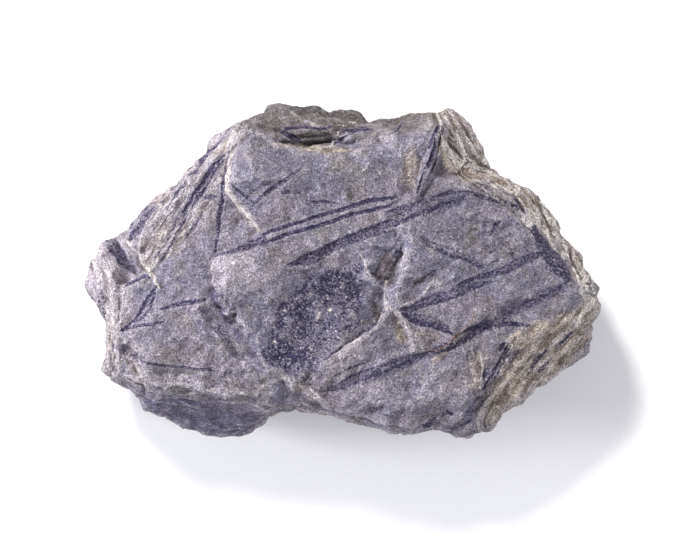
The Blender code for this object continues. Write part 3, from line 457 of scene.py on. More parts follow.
CRACKS = {
    "lump_crack": [(-31.9, -4.9, 0.2), (-31.2, -6, 0.3), (-30.6, -7, 0.2)],
    "lump_hair": [(-32.8, -0.9, 0.12), (-32.5, -2.8, 0.18), (-32.3, -4.8, 0.12)],
    "front_loop": [(-28.8, -25.4, 0.12), (-29.3, -27.8, 0.18), (-28.2, -28.4, 0.12)],
    "corner_split": [(-54.3, -27, 0.15), (-49.3, -28.8, 0.25), (-49.1, -32, 0.15)],
    "pit_split": [(7.2, -0.9, 0.3), (8.6, -1.7, 0.45), (10, -2.4, 0.3)],
    "pit_split_2": [(9.9, -9.8, 0.25), (9.2, -11.6, 0.4), (8.4, -13.4, 0.25)],
    "table_crease": [(23.4, 0.1, 0.15), (19.6, -2.6, 0.3), (18, -3.8, 0.15)],
    "right_hair": [(30, 12.8, 0.1), (33.6, 11.2, 0.15), (36.8, 10.6, 0.1)],
    "left_hair": [(-46, -12.4, 0.1), (-42.4, -16.8, 0.15), (-38.2, -19.6, 0.1)],
    "left_hair_2": [(-41, -13.6, 0.1), (-39, -17.2, 0.12), (-35.8, -18.6, 0.1)],
    "face_hair": [(2.6, 25.2, 0.1), (6.4, 24, 0.14), (9.4, 25.6, 0.1)],
    "flank_slot": [(43.6, 18.4, 0.2), (44.6, 16.2, 0.45), (45, 14.6, 0.2)],
    "flank_slot_2": [(49.6, 14.6, 0.2), (51.8, 10.6, 0.5), (53.4, 6.8, 0.2)],
    "flank_slot_3": [(46.8, 18.8, 0.15), (49.4, 15.6, 0.35), (50.6, 12.6, 0.15)],
    "flank_slot_4": [(57.2, 4.2, 0.2), (58.4, 0.6, 0.5), (60, -2.6, 0.2)],
    "peak_slot": [(30.6, 35.8, 0.2), (31.8, 32.8, 0.5), (33, 30.2, 0.2)],
    "peak_slot_2": [(26.4, 31.8, 0.2), (28, 30, 0.5), (30.4, 27.2, 0.2)],
    "end_dot": [(61.2, -3.6, 0.25), (61.9, -3.8, 0.3)],
}

# %% Raise the crests and sink the cracks
crest = np.zeros(len(plan))
for strength, line in CRESTS.values():
    spread, _, _ = measure_line(line, plan)
    crest = np.maximum(crest, strength * (1.0 - smooth_step(0.2, 1.35, spread)))
crest *= 0.45 + 0.75 * smooth_step(-0.35, 0.35, noise_at(place[upper], 2.6, 51.0))
crack_reach = np.full(len(plan), FAR_OFF)
for line in CRACKS.values():
    crack_reach = np.minimum(crack_reach, measure_line(line, plan)[0])
relief = trough + 0.30 * crest - 0.3 * (1.0 - smooth_step(0.3, 1.8, crack_reach))

# %% [markdown]
# ## Dimples and fills
#
# Parts of the face are dimpled, and those places are soft ovals. Three low places of the slab,
# the recess, the pit and the cleft, are deep enough to be black, so their floors are raised by up
# to two millimetres.

# %% Dimples, as (x, y, reach along, reach across, turn, strength)
DIMPLED = [
    (38, 8, 12, 8, -20, 1.6), (-29, -15, 6, 14, 32, 1.9), (25, -27, 10, 7, 20, 0.7),
    (15.5, 0.5, 4, 9, 0, 0.8), (-27, 0, 6, 6, 0, 0.7), (-40, -18, 12, 6, -10, 0.5),
    (14, 27, 6, 8, 0, 0.7), (-20, 26, 7, 7, 0, 0.5), (-58, -2, 5, 12, 0, 0.7), (5, -32, 14, 5, -6, 0.6),
    (48, -12, 8, 4, 20, 0.8), (-8, 37, 18, 4, 0, 1),
]
dimpled = blots(DIMPLED, plan)
dents = 0.42 * noise_at(place[upper], 2.6, 71.0, octaves=2)
dents += 0.12 * noise_at(place[upper], 1.0, 73.0)
relief += dimpled * dents
print("dimples cover", round(100 * float(np.mean(dimpled > 0.1)), 1), "% of the upper points")

# %% Fills, as (millimetres to raise, [(x, y, half-width)])
RAISED = [
    (2, [(-15, 32.6, 0.8), (-11, 32.8, 1.7), (-5, 33, 1.8), (-1, 32.6, 1.3), (2.4, 32.6, 0.8)]),
    (1.6, [(14.2, 6, 0.8), (12.4, 2.4, 1.5), (10.4, -1, 1.8), (8.6, -3.4, 1.1)]),
    (1.8, [(25.6, 36, 1.3), (23.4, 30, 1.9), (20.4, 22, 1.6), (18.6, 18.6, 0.8)]),
]
raised = np.zeros(len(plan))
for amount, line in RAISED:
    fill = 1.0 - smooth_step(0.35, 1.3, measure_line(line, plan)[0])
    raised = np.maximum(raised, amount * fill)
span = [round(float(v), 2) for v in (relief.min(), relief.max())]
print("fern, crests, cracks and dimples reach from and to, in mm:", span)

# %% [markdown]
# ## The carbon hollow
#
# In the middle, a sheet of plant debris has rotted to a dark, pitted crust with pale grains left
# standing in it. It isn't a stem, so it gets an outline of its own, and rough, granular ground.

# %% The crust's outline
CRUST = [
    (-0.7, 0.6), (2.1, 2.4), (4.9, 0.9), (6, -2.9), (5.4, -8), (4.9, -14.4), (0.7, -17.8), (-4, -22.1),
    (-4.8, -26.8), (-8.4, -28.7), (-12.3, -26.2), (-16.2, -24.8), (-20.1, -23.4), (-20.9, -21.5),
    (-19.8, -18.4), (-18.2, -15.4), (-16.8, -13.2), (-16.2, -9.8), (-13.2, -6.2), (-10.1, -3.7),
    (-7.3, -0.9),
]
wander = [noise_at(place[upper], 2.4, shift) for shift in (3.0, 43.0)]
crust_plan = plan + 0.9 * np.stack(wander, 1)
crust = within(CRUST, crust_plan, 1.1)
relief += crust * (0.14 * noise_at(place[upper], 0.9, 17.0) + 0.12 * noise_at(place[upper], 1.9, 19.0))
print("crust covers", round(float(crust.mean() * 100), 1), "% of the upper points")

# %% [markdown]
# ## The grain of the broken sides
#
# Where the slab broke across its beds, each side shows their edges as bundles of fine ridges and
# slots. From above they run along the side, and round the lumps. Guide lines give the direction:
# every point takes the guide that rules it, and its place along and across that guide. Noise that
# is long one way and short the other then makes the bundle. The material uses the same two
# measures again, for finer streaks and for pale ridge lines.

# %% Guide lines of the grain, as (strength, [(x, y, half-width)])
GRAIN = {
    "right_flank": (1, [(32, 24.6, 4), (38.6, 22, 5), (46, 16.8, 5.5), (52, 9, 5.5), (57.6, 2, 5),
        (61.6, -5, 3.5)]),
    "bevel": (0.55, [(64.4, -7.2, 3), (59.4, -13.2, 6), (53, -20, 7.5), (46, -28, 8), (38, -38, 7)]),
    "slit": (0.45, [(43.4, -16.4, 2), (39.8, -23.6, 4), (35.4, -31.4, 4), (29, -38.6, 4)]),
    "peak": (1, [(25.4, 38.6, 3), (28.6, 33, 5), (31.4, 27.4, 5.5), (37, 23, 3)]),
    "lobe": (0.4, [(19.6, 31, 2.6), (16.6, 27, 2.6), (16.4, 22.4, 2.6), (18.4, 18.8, 1.6)]),
    "cleft": (0.3, [(25.4, 36, 2.4), (22.6, 29, 2.6), (19, 19.4, 1.8)]),
    "ledge": (0.45, [(-25, 35.6, 2.4), (-17, 35.4, 4), (-7, 35.6, 4.5), (4, 34.2, 3.6), (13, 34.8, 3.6),
        (21, 38, 3)]),
    "fan": (0.6, [(-26, 34, 3), (-31.6, 27, 5.5), (-37.6, 19, 8), (-43.6, 10, 8), (-48.4, 2.4, 4)]),
    "left_end": (0.55, [(-61, 9, 3), (-60.6, 2, 5), (-57.6, -6, 4.6), (-57.4, -16, 3.6),
        (-57.6, -25, 3)]),
    "scoop": (0.5, [(-57.4, 8.6, 2.6), (-53.6, 3.4, 3.4), (-49.4, -2.4, 2.6)]),
    "corner": (0.45, [(-54.6, -15, 2.2), (-51.6, -20.6, 3), (-48.8, -26.4, 2.2)]),
    "front_left": (0.3, [(-54, -27.4, 1.8), (-42, -29.4, 2.6), (-30, -30.2, 2.4), (-18, -32.6, 2)]),
    "ragged": (0.3, [(-33.6, -8.4, 2.2), (-29.4, -14, 3.4), (-25, -21, 3.6), (-19.6, -28, 3.4)]),
    "tan_fibres": (0.5, [(31, -17, 1.6), (33.4, -24, 2.8), (34.4, -31, 2)]),
    "chip": (0.4, [(-12.6, -29.6, 2.4), (-7, -31.4, 3), (-3.4, -35.4, 2.4)]),
    "pit": (0.2, [(12.6, 5.6, 2.2), (10.2, 1, 3.6), (8.6, -4, 3)]),
    "ridge": (0.15, [(16.6, 6, 2.4), (15.6, 1, 3.2), (12.4, -5, 2.6), (12.4, -10.4, 2)]),
    "apron": (0.5, [(13.4, -10.6, 1.6), (16.4, -14, 3.4), (19, -19, 3.6)]),
    "tongue": (0.3, [(11.6, -10.6, 1.8), (6, -16.6, 3), (-1, -21.8, 3.2), (-8, -27.4, 2.4)]),
}

# %% Let each point take its guide, and raise the bundles
GUIDE_GAP = 40.0  # mm between two guides' noise, so that they don't repeat
grain = np.zeros((len(plan), 3))  # along, across and strength of the guide that rules each point
for number, (strength, line) in enumerate(GRAIN.values()):
    spread, along, across = measure_line(line, plan)
    weight = strength * (1.0 - smooth_step(0.55, 1.15, spread))
    rules = weight > grain[:, 2]
    grain[rules] = np.stack([along + GUIDE_GAP * number, across, weight], 1)[rules]
bundle = grain[:, 2] * noise_at(grain * (0.11, 0.62, 0.0), 1.0, 3.0, octaves=3)
relief += 0.62 * bundle
print("grain rules", round(100 * float(np.mean(grain[:, 2] > 0.1)), 1), "% of the upper points")

# %% [markdown]
# ## Zones of weathering, and of painted light and shade
#
# Four stains sit over the grey: ochre clay on the broken edges, a pinkish bloom where the stone is
# freshly bruised, which also paints highlights on slopes that face the light, soot-dark smears, and
# an olive skin on the ledge at the top; the soot and the olive also paint shade, most of all on the
# near underside. They have no firm border, so each is some soft ovals, and the material breaks
# their edges up with noise. Three smaller marks follow: pale specks, one of them a painted
# highlight, a rusty line with a rusty place in the pit, and the places where the crust is
# thickest. All are set out in plan, so on a steep side they run down it.

# %% Ochre, bloom with painted highlight, soot and olive with painted shade, as (x, y, reach along, reach across, turn, strength)
OCHRE = [
    (-44, 22, 16, 2.6, 42, 0.75), (-58.6, -15, 2.6, 13, 0, 0.3), (-60.5, 0.5, 4, 6.5, 0, 0.2),
    (30, 31, 6.5, 10, 20, 1.6), (40, 23.6, 8, 3.4, -38, 1.2), (51, 13.6, 13, 4.2, -56, 1.2),
    (59.5, 0.5, 6, 2.6, -70, 0.8), (52, -21, 16, 6.5, 47, 1.3), (41, -31, 11, 5.5, 50, 1.1),
    (60.5, -12, 7, 3.4, 55, 1.2), (16.8, 24.6, 2.6, 6.5, -8, 0.5), (-8, 30.1, 16, 0.9, -3, 0.6),
    (11.2, 1.4, 2, 3.8, 0, 0.3), (14.4, -15.4, 1.8, 4, 15, 0.55), (-7.2, -32.4, 2.4, 2.2, 0, 0.25),
    (27.4, -18.8, 8, 1.4, 42, 0.8), (33.4, -25, 3.4, 7, -20, 0.5), (-48.4, 0.8, 6, 1.3, -58, 0.35),
    (-29, 25, 9, 1, 86, 0.5), (-52, -22, 3.6, 6, 10, 0.35), (2.6, 36.4, 4, 1.2, 14, 0.7),
    (-23.6, 13.4, 6.4, 0.9, -50, 1), (-27.6, 26, 7, 0.8, 88, 0.5), (47, -16.6, 7, 3.4, 25, 1.1),
    (19.6, 39, 8, 1.6, 4, 0.3), (22.2, -16.8, 6, 2, -25, 0.35),
]
# part pinkish bloom, part painted highlight on slopes that face the light, such as the ridge by the pit
# and the left end
BLOOM_AND_HIGHLIGHT = [
    (-25.4, -1.4, 7.5, 7, 0, 0.95), (9, -31, 10, 5, -4, 0.5), (25, -29, 8, 6.5, 10, 0.5),
    (-60.6, 1.4, 4.4, 9, -10, 1.3), (-54.4, -9, 2.6, 9, -14, 0.9), (31, 31, 5, 8, 20, 0.7),
    (15.4, 2.4, 2.2, 4, -10, 0.6), (11.4, 34.4, 3.6, 3.4, 0, 0.8), (-43, -27.8, 10, 2, -4, 1),
    (-34, 29, 9, 2, 52, 1), (-58, 3.6, 3, 4, 0, 0.55), (5, -21, 8, 1.4, 38, 0.5),
    (-24, 14, 6.4, 1.4, -50, 0.8), (-45, 20, 15, 1.4, 42, 0.6), (-20.6, 28, 5, 4.6, 0, 0.25),
    (10.6, -33.8, 9, 3, -6, 0.35), (-40, -18, 8, 4, -10, 0.25), (-53.4, -12.6, 2.6, 9, 0, 0.3),
    (24, -10.2, 7, 1.8, 20, 0.3), (-31, -30.2, 2.2, 1, 0, 0.9), (50.6, 10.6, 10, 1.2, -58, 0.5),
]
# part soot-dark smear, part painted shade, most of all the wide oval on the near underside
SOOT_AND_SHADE = [
    (-56, 4.4, 5.6, 2.4, -48, 0.8), (-40, -2.6, 2.8, 1.9, 0, 0.6), (13.5, -5.2, 1.5, 1.5, 0, 0.9),
    (14.1, 4.3, 0.6, 0.5, 0, 1), (-35, -37, 20, 6, -4, 0.9), (-34.7, -10.4, 0.9, 0.9, 0, 1),
    (-31.4, -7.6, 1.3, 1.6, 0, 0.7), (8.8, -2, 1.8, 1, -20, 0.8), (-38.2, -28.5, 0.5, 0.5, 0, 1),
    (-34.5, -29.1, 0.5, 0.5, 0, 1), (-15.4, 38, 2.4, 1.6, 0, 0.35), (-6.8, 38, 3, 1.6, 0, 0.35),
    (-37, 4, 5, 3, 60, 0.25), (-46.6, 10, 4, 2, 55, 0.35), (2, 19.7, 0.6, 1, 0, 0.8),
    (27.4, 29.2, 2, 1.2, 0, 0.5), (-58.6, 5, 2.2, 1.6, 0, 0.2), (-50.5, -5.6, 1.6, 1.2, 0, 0.6),
    (32.4, 32.8, 0.9, 0.6, 40, 0.9), (35.4, 9.8, 1.1, 2.6, -20, 0.6), (38.8, 8.2, 0.9, 2.4, 20, 0.6),
    (33, 13.2, 2.6, 1, 30, 0.5), (-31.6, -7, 1.8, 2.8, 20, 0.75), (-29, -12, 1.4, 3.4, 25, 0.7),
    (-26, -16.6, 1.3, 2.8, 20, 0.7), (-22.6, -21, 1.4, 2, 30, 0.75), (-24.6, -9.4, 1.4, 1.4, 0, 0.55),
    (-20.4, -13.4, 1.2, 2.4, 15, 0.6), (-27.4, -21.6, 1.2, 1.6, 0, 0.5), (41.4, 11.6, 1, 1.8, 30, 0.5),
    (-10, -31.2, 1.6, 0.5, 22, 0.8),
]
# part olive skin on the top ledge, part painted shade on the near underside and the recess lip
OLIVE_AND_SHADE = [
    (-35, -37, 20, 6, -4, 0.3), (-9, 37.4, 18, 4.8, 0, 1.2), (1.9, 19.7, 1.7, 4, 0, 0.5),
    (-44.1, -21.6, 1.2, 1, 0, 0.5), (6, 34, 6, 2.4, 0, 0.5), (-8, 32.4, 9, 2.2, 0, 0.7),
    (15, 36.2, 8, 3, 14, 0.8), (20, 38.4, 4, 2.4, 0, 0.5),
]
# (15.4, 3.2) is a painted highlight on the ridge by the pit; the others are pale specks
PALE_SPECKS = [
    (-5.7, -11.5, 1.3, 0.55, 70, 1), (-2.9, -10.1, 1, 0.55, 60, 0.7), (4.8, -12.9, 0.45, 0.4, 0, 1),
    (-16.8, -18.2, 0.9, 0.8, 0, 0.6), (-26.9, 1.4, 0.8, 0.35, 60, 1), (15.4, 3.2, 0.5, 0.3, 0, 0.9),
    (-31, -30.3, 1.9, 0.7, -30, 0.4), (39.9, -22.9, 0.35, 0.35, 0, 1), (34.4, -29.6, 0.5, 0.5, 0, 0.8),
]
RUST = [
    (33, -10.8, 0.2), (32.2, -13.2, 0.3), (29.3, -15.9, 0.3), (26.6, -18.4, 0.3), (23.8, -20.1, 0.3),
    (20.4, -19.8, 0.15),
]
CLOTS = [
    (-4.6, -4.4, 9, 3.4, 18, 1), (-15, -10, 3.4, 6, -20, 0.9), (-13, -21.6, 8, 3.4, -12, 1),
    (-9.4, -9, 4, 3, 40, 0.7), (2.6, -8, 2.6, 5, 0, 0.5), (-18, -22, 2, 2, 0, 1),
]

# %% Gather the stains, with their painted light and shade, and the marks
rust = 1.0 - smooth_step(0.5, 1.6, measure_line(RUST, plan)[0])
rust = np.maximum(rust, blots([(10.8, 0.6, 1.6, 3.8, -28.0, 0.5)], plan))
marks = np.stack([blots(PALE_SPECKS, plan), rust, blots(CLOTS, plan)], 1)
stains_light_and_shade = np.stack([blots(OCHRE, plan), blots(BLOOM_AND_HIGHLIGHT, plan), blots(SOOT_AND_SHADE, plan)], 1)
olive_and_shade = blots(OLIVE_AND_SHADE, plan)
print("mean ochre, bloom and soot:", [round(float(v), 2) for v in stains_light_and_shade.mean(0)])

# %% [markdown]
# ## Breaking the surface
#
# Shale splits along its beds. On the face that leaves thin flakes: low steps whose borders wander.
# Rounding slow noise to whole steps gives just that. On the broken sides the same beds show as
# fine ribs, so there the noise is stretched flat: quick in z, slow in x and y. Between the two
# lies ordinary grit. Each point then moves along its own normal.

# %% Flakes, ribs, scars and grit
FLAKE_SIZE, FLAKE_STEP = 7.5, 0.20
side = np.clip(1.0 - np.abs(normal[:, 2]), 0.0, 1.0)
flat_share = 1.0 - smooth_step(0.15, 0.5, side)

slow = noise_at(place, FLAKE_SIZE, 2.0, octaves=4) * 4.5
floor_of = np.floor(slow)
flakes = (floor_of + smooth_step(0.40, 0.60, slow - floor_of)) * FLAKE_STEP
chips = 1.0 - 2.2 * np.abs(noise_at(place, 5.5, 61.0, octaves=3))
ribs = 0.50 * noise_at(place / (9.0, 9.0, 0.9), 1.0, 4.0)
ribs = ribs + 0.75 * noise_at(place / (14.0, 14.0, 2.6), 1.0, 9.0)
lumps = (0.40 - 0.18 * smooth_step(0.2, 0.6, side)) * noise_at(place, 3.4, 8.0, octaves=3)
grit = 0.14 * noise_at(place, 1.3, 13.0) + 0.10 * noise_at(place, 0.75, 23.0)
body = flat_share * flakes + smooth_step(0.12, 0.6, side) * (ribs + 0.35 * chips) + lumps + grit
body[upper] += relief
print("flakes, ribs and grit move points by up to", round(float(np.abs(body).max()), 2), "mm")

# %% Move the points, and keep the foot flat
FOOT_LEVEL, FOOT_FADE = 0.3, 1.5  # relief starts above the foot, and is full a little higher
body *= smooth_step(FOOT_LEVEL, FOOT_LEVEL + FOOT_FADE, place[:, 2])
place += normal * body[:, None]
place[upper, 2] += raised
place[:, 2] = np.maximum(place[:, 2], 0.0)
stone_mesh.vertices.foreach_set("co", (place * MM).astype(np.float32).ravel())
stone_mesh.update()
normal = read_vectors(stone_mesh, "normal")

# %% [markdown]
# ## Pale edges, and painted shade in the corners
#
# Edges that stick out are painted pale, partly as rubbed wear and partly as painted highlight, and
# hollows are painted dark as painted shade. Both follow from how a point stands against its
# surroundings, so the mesh is blurred, and the gap between each point and its blurred place,
# measured along the normal, says whether it sticks out or lies deep. A short blur finds small
# edges and a long one finds ledges.


# %% How far each point stands out
def blurred(points, pairs, rounds):
    """The points after some rounds of averaging with their neighbours."""
    count = np.bincount(pairs.ravel(), minlength=len(points))[:, None] + 1.0
    for _ in range(rounds):
        total = points.copy()
        for a, b in ((0, 1), (1, 0)):
            for axis in range(3):
                total[:, axis] += np.bincount(pairs[:, a], points[pairs[:, b], axis], len(points))
        points = total / count
    return points


pairs = np.zeros(len(stone_mesh.edges) * 2, np.int32)
stone_mesh.edges.foreach_get("vertices", pairs)
pairs = pairs.reshape(-1, 2)
near = blurred(place, pairs, 3)
far = blurred(near, pairs, 24)
small_edge = np.einsum("ij,ij->i", place - near, normal)
ledge_edge = np.einsum("ij,ij->i", near - far, normal)
stands_out = np.clip(small_edge / 0.12, -1.0, 1.0) * 0.5 + np.clip(ledge_edge / 0.45, -1.0, 1.0) * 0.6
print("share that stands out:", round(float(np.mean(stands_out > 0.35)), 3))


# %% Store what the material will read
def keep(mesh, name, values, where=None, otherwise=0.0):
    """Stores one value, or one vector, for each point as a named attribute."""
    values = np.asarray(values, np.float32)
    if where is not None:
        full = np.full((len(mesh.vertices),) + values.shape[1:], otherwise, np.float32)
        full[where] = values
        values = full
    kind = ("FLOAT", "value") if values.ndim == 1 else ("FLOAT_VECTOR", "vector")
    layer = mesh.attributes.new(name, kind[0], "POINT")
    layer.data.foreach_set(kind[1], values.ravel())


keep(stone_mesh, "film_reach", reach, upper, FAR_OFF)
keep(stone_mesh, "crack_reach", crack_reach, upper, FAR_OFF)
on_the_face = {
    "film_fibre": fibre, "film_core": core, "crest": crest, "grain": grain, "bundle": bundle,
    "crust": crust, "stains_light_and_shade": stains_light_and_shade, "olive_and_shade": olive_and_shade, "marks": marks,
}
for name, values in on_the_face.items():
    keep(stone_mesh, name, values, upper)
keep(stone_mesh, "stands_out", stands_out)
keep(stone_mesh, "side", side)
print("attributes:", [a.name for a in stone_mesh.attributes if not a.name.startswith(".")])

# %% [markdown]
# ## Short names for nodes
#
# A stone's material is a long sum of small effects. These helpers each add one node and give back
# its output, so that a formula can be read as a formula. A number goes straight on a socket, and
# another node's output is linked to it.


# %% Helpers that add one node each
def feed(tree, socket, value):
    if isinstance(value, bpy.types.NodeSocket):
        tree.links.new(value, socket)
    elif socket.type == "RGBA" and len(value) == 3:
        socket.default_value = (*value, 1.0)
    else:
        socket.default_value = value


def calc(tree, operation, a, b=0.0, clamp=False):
    node = tree.nodes.new("ShaderNodeMath")
    node.operation = operation
    node.use_clamp = clamp
    feed(tree, node.inputs[0], a)
    feed(tree, node.inputs[1], b)
    return node.outputs[0]


def fade(tree, value, start, end, low=0.0, high=1.0):
    """A smooth change from low to high while value goes from start to end."""
    node = tree.nodes.new("ShaderNodeMapRange")
    node.interpolation_type = "SMOOTHSTEP"
    for socket, given in zip(node.inputs[:5], (value, start, end, low, high)):
        feed(tree, socket, given)
    return node.outputs[0]


def blend_colour(tree, factor, a, b, how="MIX"):
    node = tree.nodes.new("ShaderNodeMix")
    node.data_type = "RGBA"
    node.blend_type = how
    feed(tree, node.inputs[0], factor)
    feed(tree, node.inputs[6], a)
    feed(tree, node.inputs[7], b)
    return node.outputs[2]


def cloud(tree, where, scale, detail=2.0, roughness=0.5, twist=0.0):
    node = tree.nodes.new("ShaderNodeTexNoise")
    node.inputs["Distortion"].default_value = twist
    feed(tree, node.inputs["Vector"], where)
    node.inputs["Scale"].default_value = scale
    node.inputs["Detail"].default_value = detail
    node.inputs["Roughness"].default_value = roughness
    return node.outputs["Fac"]


def stretched(tree, where, scale, turn=(0.0, 0.0, 0.0)):
    node = tree.nodes.new("ShaderNodeMapping")
    feed(tree, node.inputs["Vector"], where)
    node.inputs["Scale"].default_value = scale
    node.inputs["Rotation"].default_value = turn
    return node.outputs[0]


def stored(tree, name):
    node = tree.nodes.new("ShaderNodeAttribute")
    node.attribute_name = name
    return node


def parts(tree, vector):
    node = tree.nodes.new("ShaderNodeSeparateXYZ")
    feed(tree, node.inputs[0], vector)
    return node.outputs


# %% [markdown]
# ## The shale's material
#
# The colours are layered as they lie on the stone. At the bottom is grey mudstone, mottled violet
# and blue, with a sugary grain. Ochre, bloom, soot and olive stain it; the bloom also paints
# highlights, and the soot and olive also paint shade. Edges are painted pale, partly as bruising
# and partly as painted highlight, and hollows are painted dark brown as painted shade. The grain of
# the sides is painted pale on its ridges and dark in its slots, as painted highlight and shade.
# Over them lies carbon: blue-black, broken into fibres along each stem, and into crumbs in the
# crust. Crests with their painted highlight, pale specks, rust and cracks with painted shadow come
# last. Carbon is a little glossier than mudstone, and the masks that colour it also shape the
# bump, so that colour and relief agree.

# %% Colours, as linear light
GREY_VIOLET = (0.202, 0.179, 0.216)
GREY_BLUE = (0.176, 0.167, 0.219)
GREY_LIGHT = (0.240, 0.216, 0.247)
OCHRE_CLAY = (0.470, 0.405, 0.338)
OCHRE_DARK = (0.205, 0.165, 0.138)
# pale pink of the bloom, of its painted highlights and of the crust's pale grains
PALE_PINK = (0.425, 0.385, 0.432)
# olive skin, also painted shade
OLIVE_SKIN_AND_SHADE = (0.097, 0.086, 0.083)
# bruised pale, also painted highlight on crests, ribs, beds and streaks
BRUISE_AND_HIGHLIGHT = (0.49, 0.448, 0.440)
# rubbed pale, also painted highlight on standing edges and around films
RUBBED_AND_HIGHLIGHT = (0.34, 0.315, 0.345)
CREAM = (0.62, 0.58, 0.55)
RUST_BROWN = (0.13, 0.075, 0.048)
# painted shade: the dark brown of hollows, cracks and the slots of the grain
SHADE_BROWN = (0.068, 0.049, 0.048)
CARBON = (0.020, 0.017, 0.054)
CARBON_WORN = (0.106, 0.096, 0.164)
EARTH_TINT = (0.245, 0.222, 0.185)
COLD_TINT = (0.185, 0.185, 0.260)

shale = bpy.data.materials.new("fossil_shale")
shale.use_nodes = True
tree = shale.node_tree
surface = tree.nodes["Principled BSDF"]
coordinates = tree.nodes.new("ShaderNodeTexCoord").outputs["Object"]
in_mm = stretched(tree, coordinates, (1 / MM, 1 / MM, 1 / MM))


def times(a, b):
    return calc(tree, "MULTIPLY", a, b)


def plus(a, b):
    return calc(tree, "ADD", a, b)


def along_line(along, across, along_scale, across_scale, third=0.0):
    """A place for noise that is stretched along a line and short across it."""
    node = tree.nodes.new("ShaderNodeCombineXYZ")
    place_in_noise = (times(along, along_scale), times(across, across_scale), third)
    for socket, value in zip(node.inputs, place_in_noise):
        feed(tree, socket, value)
    return node.outputs[0]


# %% Clouds of noise, which colour and bump share
mottle = cloud(tree, in_mm, 0.075, 3.0)
patches = cloud(tree, in_mm, 0.32, 4.0, 0.6)
sugar = cloud(tree, in_mm, 1.4, 3.0, 0.7, twist=0.9)
dust = cloud(tree, in_mm, 2.7, 1.0, 0.6, twist=0.4)
speck = cloud(tree, in_mm, 1.9, 0.0)
turned = stretched(tree, in_mm, (1.0, 1.0, 1.0), (0.4, 0.3, 0.2))
tint = cloud(tree, turned, 0.16, 2.0, 0.5, twist=0.6)
beds = cloud(tree, stretched(tree, in_mm, (0.07, 0.07, 1.5)), 1.0, 3.0, 0.6)

# %% Masks of the stains and their painted light and shade, with broken borders
ragged = plus(times(patches, 0.9), times(sugar, 0.5))
ochre_in, bloom_and_highlight_in, soot_and_shade_in = parts(tree, stored(tree, "stains_light_and_shade").outputs["Vector"])
side_in = stored(tree, "side").outputs["Fac"]
ochre_sum = plus(ochre_in, fade(tree, side_in, 0.30, 0.90, 0.0, 0.22))
ochre_mask = fade(tree, plus(ochre_sum, ragged), 0.85, 1.55)
bloom_and_highlight_mask = fade(tree, plus(bloom_and_highlight_in, ragged), 0.85, 1.6)
soot_and_shade_mask = fade(tree, plus(soot_and_shade_in, ragged), 0.95, 1.45)
olive_and_shade_mask = fade(tree, plus(stored(tree, "olive_and_shade").outputs["Fac"], ragged), 0.8, 1.5)

# %% The carbon films: fibres run along each stem
film = stored(tree, "film_reach").outputs["Fac"]
film_along, film_across, film_dark = parts(tree, stored(tree, "film_fibre").outputs["Vector"])
fibres = cloud(tree, along_line(film_along, film_across, 0.16, 2.6, film_dark), 1.0, 3.0, 0.6)
film_edge = plus(film, times(calc(tree, "SUBTRACT", sugar, 0.5), 0.9))
film_shape = fade(tree, film_edge, 1.20, 0.72)
film_core = stored(tree, "film_core").outputs["Fac"]
specks = plus(times(fibres, 0.32), times(dust, 0.23))
specks = plus(specks, times(speck, 0.45))
film_bias = fade(tree, film_dark, 0.3, 1.1, -0.035, 0.10)
film_bias = calc(tree, "SUBTRACT", film_bias, times(film_core, 0.03))
film_cover = fade(tree, plus(specks, film_bias), 0.515, 0.575)
film_mask = times(film_shape, film_cover)
film_veil = times(film_shape, fade(tree, film_dark, 0.2, 1.1, 0.16, 0.45))
# painted highlight: a pale rim just outside each film
film_rim = times(fade(tree, film_edge, 1.1, 1.5), fade(tree, film_edge, 2.5, 1.7))
film_halo = times(fade(tree, film_edge, 3.4, 1.0), times(film_dark, 0.35))

# %% The grain: ridges and slots along the guides, with painted highlight on the ridges and painted shade in the slots
grain_along, grain_across, grain_strength = parts(tree, stored(tree, "grain").outputs["Vector"])
streak_place = along_line(grain_along, grain_across, 0.32, 1.6)
streaks = cloud(tree, streak_place, 1.0, 2.0, 0.6, twist=0.5)
waves = cloud(tree, along_line(grain_along, grain_across, 0.10, 0.60), 1.0, 1.5, 0.5, twist=0.3)
line_gap = calc(tree, "ABSOLUTE", calc(tree, "SUBTRACT", waves, 0.5))
ridge_share = fade(tree, grain_strength, 0.35, 0.85)
# pale ridge lines and dark gaps follow the bump: painted highlight on the ridges, painted shade in the
# gaps
ridge_line = times(fade(tree, line_gap, 0.050, 0.018), ridge_share)
ridge_gap = times(fade(tree, line_gap, 0.055, 0.11), ridge_share)
bundle_in = stored(tree, "bundle").outputs["Fac"]
# painted highlight on raised streaks and bundles, painted shade in their slots
streak_light = times(fade(tree, streaks, 0.52, 0.64), grain_strength)
streak_dark = times(fade(tree, streaks, 0.48, 0.36), grain_strength)
bundle_light = fade(tree, bundle_in, 0.08, 0.40, 0.0, 0.65)
bundle_dark = fade(tree, bundle_in, -0.05, -0.38, 0.0, 0.7)

# %% Beds: noise that is squeezed flat, and shows on the sides only, with painted highlight where it rises and painted shade where it sinks
bed_share = fade(tree, side_in, 0.35, 0.75)
bed_light = times(fade(tree, beds, 0.53, 0.63), bed_share)
bed_dark = times(fade(tree, beds, 0.47, 0.37), bed_share)

